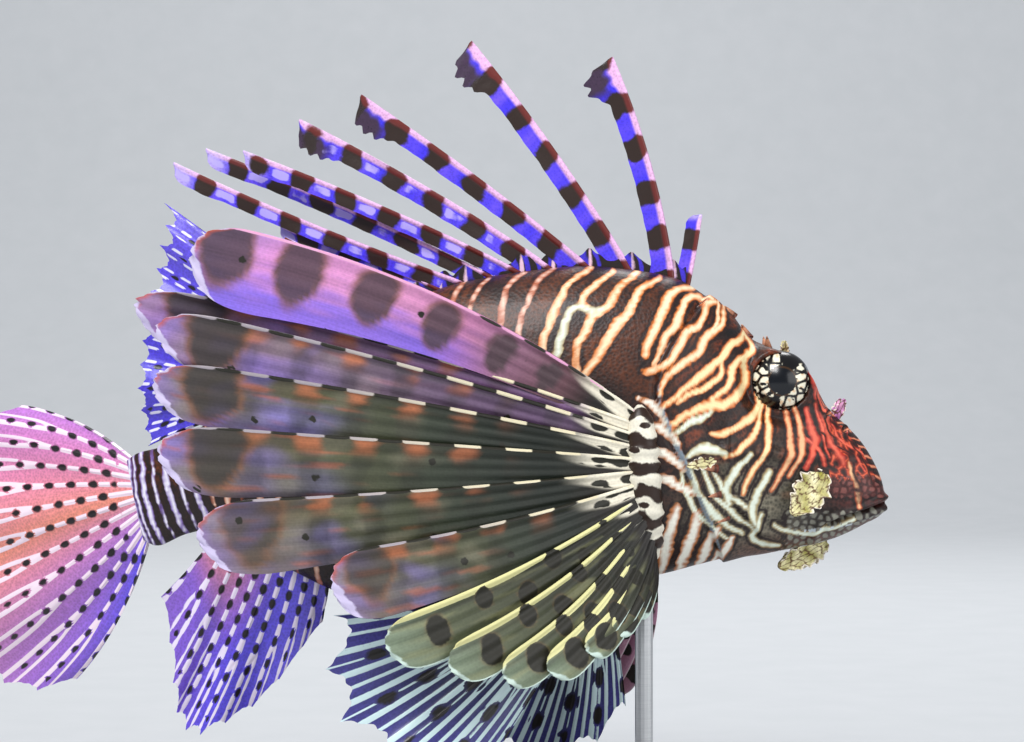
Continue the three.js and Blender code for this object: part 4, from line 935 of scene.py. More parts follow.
def panel_paint(number, along, share, width, length, t):
    """Colours of one pectoral panel: ground, marks and pale parts by millimetres along and across."""
    v = share * width
    streaks = wander(np.stack([along / 9.0, v], -1), 3.2, 50 + number)
    slow = wander(np.stack([along / 2.2, v], -1), 9.0, 90 + number)
    cloud = wander(np.stack([along / 1.6, v], -1), 13.0, 30 + number)
    end = (1 - t) * length
    bars = np.cos(2 * np.pi * (along / 17.0 + 0.13 * number))
    if number == 0:
        ground = run_of(UPPER_PANEL, t)
        deep = smooth(0.35, 0.85, share + 0.14 * streaks) * smooth(0.3, 0.5, t)
        ground = blend(ground, to_linear("#6a5cdc"), (0.8 * deep)[..., None])
    elif number < 7:
        ground = run_of(OLIVE_PANEL, t)
        ground = blend(ground, to_linear("#86806a"),
                       (0.5 * smooth(0.1, 0.8, cloud) * smooth(0.35, 0.65, t))[..., None])
        ground = blend(ground, to_linear("#8474cc"),
                       ((0.6 if number < 4 else 0.35) * smooth(0.1, 0.8, -cloud)
                        * smooth(0.55, 0.85, t))[..., None])
        glow = bump(along / length, 0.8, 0.1) * smooth(0.25, 0.7, share + 0.1 * streaks)
        ground = blend(ground, to_linear("#8a7ae6"),
                       (PANEL_GLOW[number] * glow * (0.6 + 0.4 * slow))[..., None])
        ground = blend(ground, to_linear("#b4603c"),
                       (0.5 * smooth(0.45, 0.95, streaks) * smooth(0.4, 0.7, t))[..., None])
        ground = blend(ground, to_linear("#b886c4"), 0.5 * (number == 1) + 0.25 * (number == 2))
        banded = smooth(-0.1, 0.8, bars + 0.5 * slow) * smooth(0, 0.15, share) * (1 - smooth(0.78, 0.9, t))
        ground = blend(ground, to_linear("#20231a"), (0.45 * banded)[..., None])
        ground = blend(ground, to_linear("#14170f"),
                       (0.5 * bump(v, 2.0, 1.6) * smooth(0.1, 0.3, t))[..., None])
        # Gold and rust shine through beneath each pale dash of the ray
        under = bump(v, 2.4 + 0.6 * slow, 2.6) * smooth(-0.4, 0.9, bars + 0.5 * slow + 0.3 * streaks)
        under = (under * smooth(0.25, 0.45, t) * (1 - smooth(0.84, 0.95, t))
                 * smooth(-0.7, 0.4, cloud + 0.5 * streaks))
        ground = blend(ground, to_linear("#c8744a"), np.clip(0.7 * under, 0, 1)[..., None])
    else:
        ground = run_of(LOWER_PANEL, t)
        ground = blend(ground, to_linear("#9c9c70"), (0.35 * smooth(0.2, 0.8, streaks))[..., None])
        ground = blend(ground, to_linear("#1a1a10"),
                       (0.6 * bump(v, wide_line(t) * 1.6 + 0.5, 0.9))[..., None])
    # Blotches: soft ones on the long panels, sharp ones on the short
    blot = np.zeros(along.shape)
    for u, s, size, narrow in panel_spots(number, length):
        reach = size * (1 - narrow * (share - s))
        away = (np.hypot((along - u) / reach, (share - s) * width / (1.25 * size)) + 0.14 * slow + 0.04
                * streaks)
        blot = np.maximum(blot, 1.5 - away)
    rim = bump(blot, 0.5, 0.12) * smooth(0.25, 0.6, t)
    if number < 7:
        tone = to_linear("#47373c" if number == 0 else "#38332e")
        ground = blend(ground, tone, (PANEL_BLOT[number] * smooth(0.42, 0.62, blot))[..., None])
        ground = blend(ground, to_linear("#8a5630"), (0.6 * PANEL_BLOT[number] * rim)[..., None])
        field = np.zeros(along.shape)
    else:
        ground = blend(ground, to_linear("#8a5a2c"), (0.25 * rim)[..., None])
        field = np.clip(blot, 0, 1)
    # Near the root: ivory rays with dark beans, and almost black membrane between them
    near = 1 - (smooth(14, 30, along) if number < 7 else smooth(8, 16, along))
    bound = blend(0.72, 0.2, np.clip(along / (26 if number < 7 else 14), 0, 1)) + 0.08 * slow
    root = blend(to_linear("#efe7d2"), to_linear("#17110c"),
                 smooth(bound - 0.06, bound + 0.06, share)[..., None])
    ground = blend(ground, root, near[..., None])
    first, _ = cells(np.stack([along / 1.9, v + 3 * number], -1).reshape(-1, 2), 4.9, 60 + number)
    beans = 0.5 + 0.5 * (1.75 - first.reshape(along.shape))
    field = blend(field, beans * (share < bound), near)
    if number < 7:
        # A few small ink spots on each long panel
        spot, _ = cells(np.stack([along, v + 31 * number], -1).reshape(-1, 2), 30.0, 64 + number)
        ink = 0.5 + 0.5 * (1.3 - spot.reshape(along.shape))
        field = np.maximum(field, ink * smooth(0.2, 0.3, t))
    wide = 0.75 if number < 7 else wide_line(t) + 0.25 * streaks
    shaft = 1 - smooth(0.8 * wide, 1.6 * wide, v)
    if number == 0:
        shaft = shaft * smooth(0.2, 0.5, v + 0.2)
    if number < 7:
        dark = shaft * (0.5 - 0.9 * bars) * (1 - near) * (1 - smooth(0.42, 0.5, t) * (number == 0))
        field = np.maximum(field * (1 - 0.92 * shaft), dark)
        lit = np.clip(0.55 + 0.9 * bars, 0, 1)
        lit = np.maximum(lit, smooth(0.42, 0.5, t)) if number == 0 else lit
        light = shaft * lit * (1 - 0.5 * near)
    else:
        light = shaft * (1 - 0.5 * near) * (1 - smooth(0.42, 0.52, field))
    lobe = 0.5 + 0.2 * (4.8 * smooth(0.35, 0.8, share) * (1 if number < 7 else 0.45) - end + 0.8 * streaks)
    trail = 0.5 + 0.9 * (0.4 - (1 - share) * width) if number > 6 else 0 * v
    light = np.maximum(light, np.maximum(lobe, trail) * smooth(0.3, 0.6, t))
    outer = to_linear("#cfc4e6" if number < 7 else "#c9ddd2")
    inner = to_linear("#e3a0c6") if number == 0 else to_linear("#e2dd9e") if number > 6 else blend(
        to_linear("#e4d9b8"), to_linear("#a39aa0"), smooth(0.3, 0.8, t)[..., None])
    pale = blend(inner, outer, smooth(wide, 2.2 * wide, v)[..., None])
    edge = bump(end, 0.3, 0.6) * (1 - smooth(0.5, 0.75, share)) * (number < 7)
    ground = blend(ground, to_linear("#c8563a"), edge[..., None])
    return {"ground": ground, "field": np.clip(field, 0, 1), "light": np.clip(light, 0, 1), "pale": pale}


def pectoral_shell(side):
    """All panels of one pectoral fin and the fleshy pad that they fan out from."""
    shell = Shell()
    for number, (rise, length, lean, width, sweep) in enumerate(PECTORAL_RAYS):
        dropped = max(number - FIRST_DROPPED_RAY, 0) if side == LEFT else 0
        low, length = rise - LEFT_RAY_DROP * dropped, length + LEFT_RAY_GROWTH * dropped
        t, s = np.meshgrid(np.linspace(0, 1, 84) ** 0.9, np.linspace(0, 1, 24) ** 1.5, indexing="ij")
        first, most, last = PETAL_REACH
        front = np.clip(s / PETAL_MIDDLE, 0, 1)
        rear = np.clip((s - PETAL_MIDDLE) / (1 - PETAL_MIDDLE), 0, 1)
        reach = first + (most - first) * (1 - (1 - front) ** 2.3) ** (1 / 2.3) + (last - most) * rear ** 2
        shift = side * PETAL_SHIFT * s ** 0.8
        corner = np.clip((t - 0.86) / 0.14, 0, 1)
        wider = 1.13 if number == 0 else 1.0
        grown = wider * width * blend(0.2, 1, t ** 0.62) * (1 - 0.28 * (1 - np.sqrt(1 - corner ** 2)))
        ragged = (wander(np.stack([s * 30, np.full(s.shape, 9.0 * number)], -1), 5.0, 70) * 0.006
                  * smooth(0.9, 1, t))
        shift = shift + 0.35 * np.sin(t * 9 + number) * s + 0.25 * np.sin(s * width * 1.1 + number)
        middle = blade(
            pectoral_root(number / (len(PECTORAL_RAYS) - 1), side), heading(low - sweep, lean, side),
            heading(low + sweep, lean, side), length, t, s, grown, reach * (1 + ragged), shift,
            lambda forward: np.cross(forward, (0, side, 0)) * side,
        )
        across = s * grown
        thick = MEMBRANE + (blend(1.6, 0.8, t) - MEMBRANE) * bump(across, 0.55, 0.75)
        thick = thick * (0.35 + 0.65 * smooth(0, 0.5, across)) * (0.5 + 0.5 * smooth(0, 0.6, grown - across))
        paint = panel_paint(number, t * reach * length, s, grown, length, t)
        # The left fin's lower panels are pink. This pink is painted lighter than their own colour: painted light that
        # makes up for the shade falling on them
        if side == LEFT and number > 8:
            pink_and_painted_light = blend(to_linear("#8e5470"), to_linear("#e0a2c0"), smooth(0.2, 0.9, s)[..., None])
            paint["ground"] = blend(paint["ground"], pink_and_painted_light,
                                    (0.85 * smooth(8, 12, number) * smooth(0.2, 0.4, t))[..., None])
            paint["pale"] = blend(paint["pale"], to_linear("#f2c6d8"), 0.7)
        shell.add(sheet(middle, thick), mark=to_linear("#1f1d12"), across=across + 7 * number,
                  opacity=1.0, **paint)
    share, turn = np.meshgrid(np.linspace(0, 1, 40), np.linspace(0, 2 * np.pi, 40, endpoint=False),
                              indexing="ij")
    roots = np.array([pectoral_root(blend(-0.06, 1.06, k), side) for k in share[:, 0]])
    size = (np.sqrt(np.maximum(1 - (2 * share - 1) ** 4, 0.02))
            * (1 + 0.12 * wander(np.stack([share * 70, 0 * share], -1), 6.0, 67)))
    rings = roots[:, None] + np.stack([5.2 * size * np.cos(turn), 4.2 * size * np.sin(turn), 0 * turn], -1)
    # Broad ivory bands cross the pad toward the rays, with dark brown between them and a few dark beans
    drift = wander(rings, 9.0, 66)
    bands = np.cos(2 * np.pi * 6.2 * share + 1.1 * drift + 0.6)
    first, _ = cells(rings[..., ::2].reshape(-1, 2) * (0.8, 1.3), 7.5, 68)
    beans = 0.5 + 0.5 * (1.5 - first.reshape(share.shape))
    shell.add(loft(rings), ground=to_linear("#ece6d4"), mark=to_linear("#2a170d"), pale=to_linear("#f4efe0"),
              field=np.clip(np.maximum(0.46 - 0.4 * bands, beans), 0, 1), light=0.0, across=0.0, opacity=1.0)
    return shell


class LIONFISH_OT_pectorals(Operator):
    """Makes both pectoral fins, panel by panel."""

    bl_idname = "lionfish.pectorals"
    bl_label = "Pectoral fins"

    def execute(self, context):
        # Thick fin skin with a leathery grain: fine streaks along each ray, and hardly any gloss
        finish = painted("pectoral fin skin", 0.44, 1.0, 0.05, 0.22, 0.1, coat=0.05, streak=0.16, fleck=0.2)
        for side, name in ((RIGHT, "fin_pectoral_right"), (LEFT, "fin_pectoral_left")):
            pectoral_shell(side).build(name + "_fine", finish, "fin_blades", (name,))
        return {"FINISHED"}


class LIONFISH_OT_spiny_dorsal(Operator):
    """Makes the spines of the back with their ribbons and the low web that joins their roots."""

    bl_idname = "lionfish.spiny_dorsal"
    bl_label = "Dorsal spines"

    def execute(self, context):
        sizes, colours = context.scene.lionfish_sizes, context.scene.lionfish_colours
        shell = Shell()
        for number, (x, rise, length, width, lean, flag, bow) in enumerate(DORSAL_SPINES):
            root = np.array([x, bend_at(x), edge_height(x)]) - heading(rise, lean, RIGHT) * ROOT_SINK
            length = length + ROOT_SINK
            t, s = np.meshgrid(np.linspace(0, 1, 120),
                               np.concatenate([np.linspace(0, 0.3, 8), np.linspace(0.36, 1, 11)]),
                               indexing="ij")
            rough = wander(np.stack([t * length, np.full(t.shape, 20.0 * number)], -1), 7.0, 80)
            grown = width * (1 + 0.35 * (1 - smooth(0, 0.15, t)) + flag * smooth(0.82, 0.89, t))
            lobed = smooth(0.8, 0.9, t) * (flag > 0.2)
            tip = np.clip((t * length - length + 5.5) / 5.5, 0, 1)
            grown = grown * (0.3 + 0.7 * np.sqrt(1 - tip ** 2)) * (1 + 0.03 * rough)
            grown = grown * (1 + 0.1 * lobed * np.sin(t * length * 1.5 + number))
            reach = 1 - 0.012 * smooth(0.2, 1, s)
            middle = blade(root, heading(rise + bow, lean, RIGHT), heading(rise - bow, lean, RIGHT), length,
                           t, s, grown,
                           reach, 0.35 * np.sin(t * 14 + number) * smooth(0.3, 1, s),
                           lambda f: np.cross(f, (0, 1, 0)))
            across = s * grown
            round_part = np.sqrt(np.clip(1 - ((s - 0.14) / 0.145) ** 2, 0, 1))
            thick = np.maximum(MEMBRANE, blend(2.0, 0.7, t) * round_part)
            thick = np.where(s == 0, 0.25, thick) * (1 - 0.6 * smooth(0.97, 1, t))
            u = t * reach * length
            wobble = 0.4 * wander(np.stack([u, across + 20.0 * number], -1), 7.0, 81)
            bars = np.cos((u - 3) * 2 * np.pi / sizes.band_step + 0.5 * np.sin(number * 2.1) + 0.3 * s
                          + wobble)
            bars = bars - 0.35 * (2 * s - 1.1) ** 4
            shaft = 1 - smooth(0.24, 0.34, s)
            violet = blend(to_linear("#3c2ee6"), to_linear("#6a50f0"), (0.5 + 0.5 * rough)[..., None])
            ground = blend(violet, to_linear("#e6b3e0"), shaft[..., None])
            mark = blend(to_linear("#2a1a14"), to_linear("#6a2420"), shaft[..., None])
            lobe = smooth(0.84, 0.9, t) * (1 - shaft) * (flag > 0.2)
            ground = blend(ground, to_linear("#38201c"),
                           (0.95 * lobe * smooth(0.3, 0.5, s + 0.1 * rough))[..., None])
            tip = smooth(0.9, 0.97, t) * (flag < 0.2)
            ground = blend(ground, to_linear("#cbb8ec"), (0.7 * tip)[..., None])
            field = 0.48 + 0.45 * bars + 0.08 * (1 - s) - 0.25 * smooth(0.86, 0.95, t)
            patch = (np.maximum(np.abs(across - 0.58 * grown) - 0.16 * grown, 0) + 1.5
                     * np.maximum(bars + 0.66, 0))
            dash = 0.6 - 0.5 * patch + 0.2 * rough + 0.5 * wobble - (0.5 if number < 4 else 0)
            shell.add(sheet(middle, thick), ground=ground, mark=mark, pale=to_linear("#b4a6f6"),
                      field=np.clip(field, 0, 1),
                      light=np.clip(dash, 0, 1), across=across + 9 * number, opacity=1 - 0.15 * lobe)
        x, up = np.meshgrid(np.linspace(WEB_START_X, WEB_END_X, 260), np.linspace(0, 1, 8), indexing="ij")
        roots = np.sort(np.array([spine[0] for spine in DORSAL_SPINES]))
        nearest = np.min(np.abs(x[..., None] - roots), axis=-1)
        mottle = wander(np.stack([x, 3 * up], -1), 3.4, 82)
        crest = sizes.web_height * (1.25 - 0.75 * smooth(0, 6, nearest) + 0.12 * mottle)
        web = np.stack([x, bend_at(x) + 0 * up, edge_height(x) - ROOT_SINK + up * (ROOT_SINK + crest)], -1)
        shell.add(sheet(web, 0.5 + 0.9 * (1 - up)), ground=np.array(colours.web[:]),
                  mark=to_linear("#1c100c"), pale=to_linear("#e8c4d8"),
                  field=np.clip(0.42 + 0.06 * nearest + 0.15 * (1 - up) + 0.4 * mottle, 0, 1),
                  light=np.clip(0.66 - 0.3 * nearest - 0.3 * np.abs(up - 0.45) + 0.12 * mottle, 0, 1),
                  across=up * 8, opacity=1.0)
        # Thin skin ribbon on a hard spine: a light coat gives it a moist gloss, streaks follow the spine
        finish = painted("dorsal spine ribbon", 0.4, 0.9, 0.05, 0.2, 0.12, coat=0.2, streak=0.15,
                         see_through=True)
        shell.build("fin_dorsal_spiny_fine", finish, "fin_spines", ("fin_dorsal_spiny",))
        return {"FINISHED"}


def rayed_surface(rays, rows, per_ray, wave, notch):
    """
    A membrane over bent rays: place counts the rays across it and t the share of their length. Between
    rays the surface follows a mix of its neighbours, and its edge falls back by the notch.
    """
    table = np.array([np.concatenate([root, start, end, [length]]) for root, start, end, length in rays])
    place, t = np.meshgrid(np.linspace(0, len(rays) - 1, (len(rays) - 1) * per_ray + 1),
                           np.linspace(0, 1, rows), indexing="xy")
    row = through(table, place)
    beside = place - np.round(place)
    reach = 1 - notch * np.sin(np.pi * np.clip(np.abs(beside), 0, 0.5)) ** 0.7
    reach = reach + 0.004 * np.sin(place * 23) * notch / 0.05
    along = (t * reach)[..., None]
    length = row[..., 9:10]
    middle = (row[..., 0:3] + row[..., 3:6] * length * along + (row[..., 6:9] - row[..., 3:6]) * length
              * along ** 2 / 2)
    middle[..., 1] += wave * t * np.sin(place * 1.9 + 2.2 * t)
    spacing = np.linalg.norm(np.gradient(middle, axis=1), axis=-1) * per_ray
    return middle, place, t, beside, spacing, length[..., 0] * t * reach


def rayed_shell(rays, rows, per_ray, wave, notch, ground_of, dots, dash, opacity, mark="#160f14",
                pale="#f0dcee",
                ray_width=0.62, twigs=0):
    """One fin of bent rays: the rays stand out as ridges, branch toward their ends and carry dots."""
    middle, place, t, beside, spacing, u = rayed_surface(rays, rows, per_ray, wave, notch)
    fork = 0.19 * smooth(0.4, 0.75, t)
    away = np.minimum(np.abs(np.abs(beside) - fork), np.abs(beside) + 0.25 * (t > 0.6)) * spacing
    if twigs:
        twig = np.abs((place * twigs + 0.5) % 1 - 0.5) / twigs * spacing + 1.5 * (1 - smooth(0.3, 0.5, t))
        away = np.minimum(away, twig)
    thick = MEMBRANE + (blend(1.4, 0.75, t) - MEMBRANE) * bump(away, 0, 0.55)
    thick = thick * (1 - 0.35 * smooth(0.94, 1, t))
    step, size = dots
    row = (np.round(place) * 0.37) % 1.0
    turn = (u / step + row) % 1.0
    dot = np.hypot(beside * spacing / (0.95 * size), (turn - 0.5) * step / (1.3 * size))
    field = np.clip(1.0 - 0.5 * dot, 0, 1) * smooth(0.06, 0.14, t) * (1 - smooth(0.92, 0.96, t))
    line = np.clip(0.5 + 0.9 * (ray_width - away), 0, 1)
    broken = 0.5 + 0.5 * np.cos(2 * np.pi * turn)
    light = line * (1 - dash + dash * smooth(0.2, 0.6, broken)) * (1 - smooth(0.36, 0.48, field))
    shell = Shell()
    see = blend(opacity, 1.0, np.clip(np.maximum(line, field), 0, 1) * 0.85 + 0.15 * (1 - t))
    shell.add(sheet(middle, thick), ground=ground_of(place / (len(rays) - 1), t), mark=to_linear(mark),
              pale=to_linear(pale),
              field=field, light=light, across=place * 5.0, opacity=see)
    return shell


class LIONFISH_OT_rayed_fins(Operator):
    """Makes the soft dorsal fin, the anal fin and the tail fin."""

    bl_idname = "lionfish.rayed_fins"
    bl_label = "Soft dorsal, anal and tail fins"

    def execute(self, context):
        # Clear fin membrane over rays: the ground shows through it, and its coat gives soft wet lights
        finish = painted("fin membrane over rays", 0.4, 0.9, 0.05, 0.12, 0.12, coat=0.2, streak=0.12,
                         see_through=True)
        rays = []
        for share in np.linspace(0, 1, 12):
            x = blend(-56.5, -99.0, share)
            rise, lean = 38 - 8 * share - 52 * share ** 2, -6 - 8 * share
            root = np.array([x, bend_at(x), edge_height(x)]) - heading(rise, lean, RIGHT) * ROOT_SINK
            length = (79 if share == 0 else 77 - 50 * share) + ROOT_SINK
            rays.append((root, heading(rise + 4, lean, RIGHT), heading(rise - 4, lean - 6, RIGHT), length))
        soft = rayed_shell(
            rays, 96, 12, 2.0, 0.06,
            lambda share, t: run_of(tones((0, "#6a58e0"), (0.5, "#5040d8"), (1, "#4a3cc8")), share + 0 * t),
            (7.0, 1.35), 0.55, 0.9, pale="#e9e6fa",
        )
        soft.build("fin_dorsal_soft_fine", finish, "fin_membrane", ("fin_dorsal_soft",))
        rays = []
        for number, (rise, length) in enumerate(ANAL_RAYS):
            x = blend(-61.5, -98.0, number / (len(ANAL_RAYS) - 1))
            root = (np.array([x, bend_at(x), edge_height(x, upper=False)]) - heading(rise, -5, RIGHT)
                    * ROOT_SINK)
            rays.append((root, heading(rise - 4, -5, RIGHT), heading(rise + 4, -9, RIGHT),
                         length + ROOT_SINK))
        anal = rayed_shell(
            rays, 96, 12, 2.0, 0.05, lambda share, t: blend(
                run_of(tones((0, "#6a5ce0"), (0.5, "#5a4ae0"), (1, "#8d62cc")), share + 0 * t),
                to_linear("#e08a78"),
                (smooth(0.35, 1.0, share) * (1 - smooth(0.15, 0.65, t)))[..., None]),
            (8.2, 1.4), 0.3, 0.9, pale="#f0e4fa", ray_width=0.95,
        )
        anal.build("fin_anal_fine", finish, "fin_membrane", ("fin_anal",))
        top, foot = body_point(np.array([25.0, 25.0]), np.array([0.0, np.pi]))
        rays = []
        for share in np.linspace(0, 1, 13):
            rise = blend(25, -62, share)
            root = blend(top, foot, blend(0.04, 0.96, share)) - heading(-21, -21, RIGHT) * ROOT_SINK
            grown = (1 + 0.2 * smooth(0.45, 0.85, share) - (0.4 if share > 0.5 else 0.38)
                     * abs(2 * share - 1) ** 3)
            length = 82 * grown + ROOT_SINK
            rays.append((root, heading(blend(rise, -21, -0.3), -21, RIGHT),
                         heading(blend(rise, -21, 0.4), -29, RIGHT), length))
        tail = rayed_shell(
            rays, 110, 14, 2.5, 0.045, lambda share, t: run_of(
                tones((0, "#c87fd8"), (0.25, "#e88cb8"), (0.5, "#f0937e"), (0.72, "#bf7cc6"), (1, "#6450e2")),
                share - 0.12 * t + 0.06),
            (9.0, 1.5), 0.0, 0.9, pale="#fbe6f4", ray_width=0.95,
        )
        tail.build("fin_caudal_fine", finish, "fin_membrane", ("fin_caudal",))
        return {"FINISHED"}


class LIONFISH_OT_pelvics(Operator):
    """Makes both pelvic fins."""

    bl_idname = "lionfish.pelvics"
    bl_label = "Pelvic fins"

    def execute(self, context):
        # Dark pelvic membrane: strongly streaked along its rays, and less glossy than the rear fins
        finish = painted("pelvic fin membrane", 0.42, 0.9, 0.05, 0.2, 0.12, coat=0.15, streak=0.2,
                         see_through=True)
        for side, lean, name in ((RIGHT, 18, "fin_pelvic_right"), (LEFT, 24, "fin_pelvic_left")):
            rays = []
            for number, (rise, length) in enumerate(PELVIC_RAYS[side]):
                share = number / 5
                root = np.array([29.3 - 9 * share, side * 9.0, 93.5 + ROOT_SINK - 3 * share])
                rays.append((root, heading(rise - 6, lean + 6, side), heading(rise + 6, lean - 4, side),
                             length))
            shell = rayed_shell(
                rays, 100, 30, 2.0, 0.08, lambda share, t: run_of(
                    tones((0, "#262420"), (0.4, "#34383a"), (0.65, "#35375c"), (1, "#423e8c")),
                    t + 0.05 * np.sin(9 * share)),
                (15.0, 2.8), 0.1, 0.95, mark="#1d1918", pale="#d4ecef", ray_width=0.7, twigs=4,
            )
            shell.build(name + "_fine", finish, "fin_membrane", (name,))
        return {"FINISHED"}


# Stand and stage

class LIONFISH_OT_stand(Operator):
    """Gives the base and the rods of the stand their finishes."""

    bl_idname = "lionfish.stand"
    bl_label = "Stand"

    def execute(self, context):
        for name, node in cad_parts.items():
            if name.startswith("stand_"):
                metal = "rod" in name
                node.data.materials.clear()
                node.data.materials.append(rod_steel() if metal else stand_plastic())
        return {"FINISHED"}


def rod_steel():
    """Brushed stainless steel: fine rings from polishing, drawn 0.4 mm apart, streak its lights."""
    name = "brushed stainless steel"
    if name in bpy.data.materials:
        return bpy.data.materials[name]
    material = bpy.data.materials.new(name)
    material.use_nodes = True
    tree = material.node_tree
    tree.nodes.clear()
    place = add_node(tree, "ShaderNodeTexCoord").outputs["Object"]
    stretched = add_node(tree, "ShaderNodeMapping", {"Scale": (0.05, 0.05, 1.0)}, {"Vector": place})
    rings = add_node(tree, "ShaderNodeTexNoise", {"Scale": 1 / (0.4 * MM), "Detail": 2.0},
                     {"Vector": stretched.outputs[0]})
    rough = add_node(tree, "ShaderNodeMapRange", {"To Min": 0.24, "To Max": 0.44},
                     {"Value": rings.outputs["Fac"]})
    tone = add_node(tree, "ShaderNodeMix", {
        "data_type": "RGBA", 6: (*to_linear("#b9bbbd"), 1), 7: (*to_linear("#d9dadb"), 1),
    }, {0: rings.outputs["Fac"]})
    raised = add_node(tree, "ShaderNodeBump", {"Strength": 0.25, "Distance": 0.02 * MM},
                      {"Height": rings.outputs["Fac"]})
    finish = add_node(tree, "ShaderNodeBsdfPrincipled", {"Metallic": 1.0}, {
        "Base Color": tone.outputs[2], "Roughness": rough.outputs[0], "Normal": raised.outputs["Normal"],
    })
    add_node(tree, "ShaderNodeOutputMaterial", None, {"Surface": finish.outputs[0]})
    return material


def stand_plastic():
    """Moulded black plastic: faint flow lines drawn 1 mm apart break up the soft light on its top."""
    material = bpy.data.materials.new("moulded black plastic")
    material.use_nodes = True
    tree = material.node_tree
    tree.nodes.clear()
    place = add_node(tree, "ShaderNodeTexCoord").outputs["Object"]
    stretched = add_node(tree, "ShaderNodeMapping", {"Scale": (0.06, 1.0, 1.0)}, {"Vector": place})
    flow = add_node(tree, "ShaderNodeTexNoise", {"Scale": 1 / (1.0 * MM), "Detail": 4.0},
                    {"Vector": stretched.outputs[0]})
    tone = add_node(tree, "ShaderNodeMix", {
        "data_type": "RGBA", 6: (*to_linear("#1c1a1a"), 1), 7: (*to_linear("#2f2b2a"), 1),
    }, {0: flow.outputs["Fac"]})
    rough = add_node(tree, "ShaderNodeMapRange", {"To Min": 0.28, "To Max": 0.42},
                     {"Value": flow.outputs["Fac"]})
    raised = add_node(tree, "ShaderNodeBump", {"Strength": 0.2, "Distance": 0.05 * MM},
                      {"Height": flow.outputs["Fac"]})
    finish = add_node(tree, "ShaderNodeBsdfPrincipled", {"Coat Weight": 0.3, "Coat Roughness": 0.2}, {
        "Base Color": tone.outputs[2], "Roughness": rough.outputs[0], "Normal": raised.outputs["Normal"],
    })
    add_node(tree, "ShaderNodeOutputMaterial", None, {"Surface": finish.outputs[0]})
    return material


# The stage in metres: half its width, its whole run from front to top, its level run and where that starts
STAGE_HALF_WIDTH, STAGE_RUN, FLOOR_RUN, FLOOR_START = 4, 8.0, 4.2, 2.4
# Lamps: name, place in metres, power in watts, width in metres
LAMPS = (
    ("key", (-0.45, -0.95, 1.25), 21, 0.6), ("fill", (1.1, -0.9, 0.45), 7, 1.0),
    ("rim", (0.3, 0.9, 1.5), 10, 0.6),
    ("wall", (0.0, 1.0, 1.9), 26, 1.6),
)
LAMP_TARGET, WALL_TARGET = (-0.02, 0.0, 0.15), (0.0, 3.0, 0.7)
WORLD_STRENGTH = 0.45
# The camera stands in front of the middle of the photo, which is 1024 pixels wide
CAMERA_DISTANCE_MM, CAMERA_HEIGHT, SENSOR_WIDTH, PHOTO_WIDTH_PX = 900, 0.1597, 36.0, 1024


class LIONFISH_OT_stage(Operator):
    """Makes the pale floor with its curved rise behind, the lights, the world and the camera."""

    bl_idname = "lionfish.stage"
    bl_label = "Stage"

    def execute(self, context):
        scene = context.scene
        across, share = np.meshgrid(
            np.linspace(-STAGE_HALF_WIDTH, STAGE_HALF_WIDTH, 9), np.linspace(0, 1, 60), indexing="ij",
        )
        # A level floor, a quarter of a circle 1 m in radius, and an upright wall
        run = share * STAGE_RUN
        turn = np.clip(run - FLOOR_RUN, 0, np.pi / 2)
        depth = np.minimum(run, FLOOR_RUN) - FLOOR_START + np.sin(turn)
        height = 1 - np.cos(turn) + np.maximum(run - FLOOR_RUN - np.pi / 2, 0)
        mesh = bpy.data.meshes.new("stage_floor")
        points = np.stack([across, depth, height], -1).reshape(-1, 3)
        mesh.from_pydata(points.tolist(), [], grid_faces(9, 60).tolist())
        mesh.polygons.foreach_set("use_smooth", np.ones(len(mesh.polygons), bool))
        material = bpy.data.materials.new("matt paper backdrop")
        material.use_nodes = True
        tree = material.node_tree
        tree.nodes.clear()
        place = add_node(tree, "ShaderNodeTexCoord").outputs["Object"]
        fibre = add_node(tree, "ShaderNodeTexNoise", {"Scale": 1 / (30 * MM), "Detail": 3.0},
                         {"Vector": place})
        tone = add_node(tree, "ShaderNodeMix", {
            "data_type": "RGBA", 6: (*to_linear("#c3c6c9"), 1), 7: (*to_linear("#cbcdd0"), 1),
        }, {0: fibre.outputs["Fac"]})
        finish = add_node(tree, "ShaderNodeBsdfPrincipled", {"Roughness": 0.9},
                          {"Base Color": tone.outputs[2]})
        add_node(tree, "ShaderNodeOutputMaterial", None, {"Surface": finish.outputs[0]})
        mesh.materials.append(material)
        floor = bpy.data.objects.new("stage_floor", mesh)
        scene.collection.objects.link(floor)
        for name, spot, power, size in LAMPS:
            lamp = bpy.data.lights.new(name, "AREA")
            lamp.energy, lamp.size = power, size
            light = bpy.data.objects.new(name, lamp)
            light.location = spot
            aim = Vector(WALL_TARGET if name == "wall" else LAMP_TARGET)
            light.rotation_euler = (aim - light.location).to_track_quat("-Z", "Y").to_euler()
            scene.collection.objects.link(light)
        world = bpy.data.worlds.new("studio")
        world.use_nodes = True
        world.node_tree.nodes["Background"].inputs["Color"].default_value = (*to_linear("#dfe4ea"), 1)
        world.node_tree.nodes["Background"].inputs["Strength"].default_value = WORLD_STRENGTH
        scene.world = world
        scene.view_settings.view_transform = "Standard"
        lens = bpy.data.cameras.new("camera")
        lens.sensor_width = SENSOR_WIDTH
        lens.lens = SENSOR_WIDTH * CAMERA_DISTANCE_MM * PHOTO_PX_PER_MM / PHOTO_WIDTH_PX
        camera = bpy.data.objects.new("camera", lens)
        camera.location = (0.0, -CAMERA_DISTANCE_MM * MM, CAMERA_HEIGHT)
        camera.rotation_euler = (np.pi / 2, 0, 0)
        scene.collection.objects.link(camera)
        scene.camera = camera
        return {"FINISHED"}


# Sizes, colours, panel and run

def shade(name, description, text):
    """A colour property whose default is given as sRGB hex."""
    return FloatVectorProperty(name=name, description=description, subtype="COLOR", size=3, min=0, max=1,
                               default=tuple(to_linear(text)))


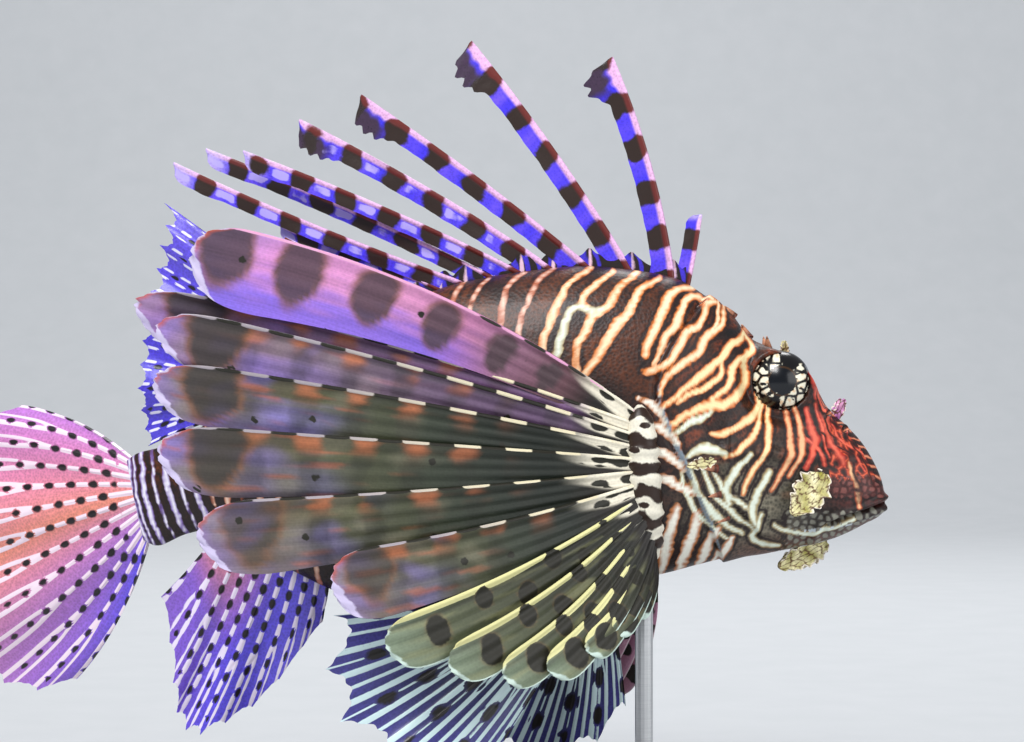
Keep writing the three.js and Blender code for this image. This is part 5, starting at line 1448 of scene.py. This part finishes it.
class LIONFISH_PG_sizes(PropertyGroup):
    """Sizes in millimetres that the pieces read."""

    scale_size: FloatProperty(
        name="Scale size", description="Width of one scale of the skin, in mm", default=1.1, min=0.3,
    )
    band_step: FloatProperty(
        name="Band step", description="Length of a dark and a violet bar of a dorsal ribbon, in mm",
        default=15.7, min=1,
    )
    web_height: FloatProperty(
        name="Web height", description="Height of the web between the dorsal spines, in mm", default=4.5,
        min=0.5,
    )


class LIONFISH_PG_colours(PropertyGroup):
    """Colours that the pieces read."""

    flank: shade("Flank", "Dark ground of the flank", "#1e0b07")
    rust: shade("Rust", "Rusty ground high on the flank", "#5c2a08")
    crown: shade("Crown", "Almost black ground of the crown", "#130705")
    web: shade("Web", "Violet ground of the web between the dorsal spines", "#3c2cc8")


class LIONFISH_PT_panel(Panel):
    """Lists the sizes, the colours and the pieces."""

    bl_label = "Lionfish"
    bl_idname = "LIONFISH_PT_panel"
    bl_space_type = "VIEW_3D"
    bl_region_type = "UI"
    bl_category = "Lionfish"

    def draw(self, context):
        """Draws a row for each size and colour and a button for each piece."""
        for group in (context.scene.lionfish_sizes, context.scene.lionfish_colours):
            for key in group.__annotations__:
                self.layout.prop(group, key)
        for operator in OPERATORS:
            self.layout.operator(operator.bl_idname)


OPERATORS = (
    LIONFISH_OT_stage, LIONFISH_OT_stand, LIONFISH_OT_skin, LIONFISH_OT_eyes, LIONFISH_OT_growths,
    LIONFISH_OT_spiny_dorsal, LIONFISH_OT_rayed_fins, LIONFISH_OT_pectorals, LIONFISH_OT_pelvics,
)
CLASSES = (LIONFISH_PG_sizes, LIONFISH_PG_colours, *OPERATORS, LIONFISH_PT_panel)


def register():
    """Adds the classes to Blender and the two groups of values to its scenes."""
    for cls in CLASSES:
        bpy.utils.register_class(cls)
    bpy.types.Scene.lionfish_sizes = PointerProperty(type=LIONFISH_PG_sizes)
    bpy.types.Scene.lionfish_colours = PointerProperty(type=LIONFISH_PG_colours)


def unregister():
    """Takes away what register adds, in reverse order."""
    del bpy.types.Scene.lionfish_colours
    del bpy.types.Scene.lionfish_sizes
    for cls in reversed(CLASSES):
        bpy.utils.unregister_class(cls)


def main():
    register()
    for operator in OPERATORS:
        family, action = operator.bl_idname.split(".")
        getattr(getattr(bpy.ops, family), action)()


if __name__ == "__main__":
    main()
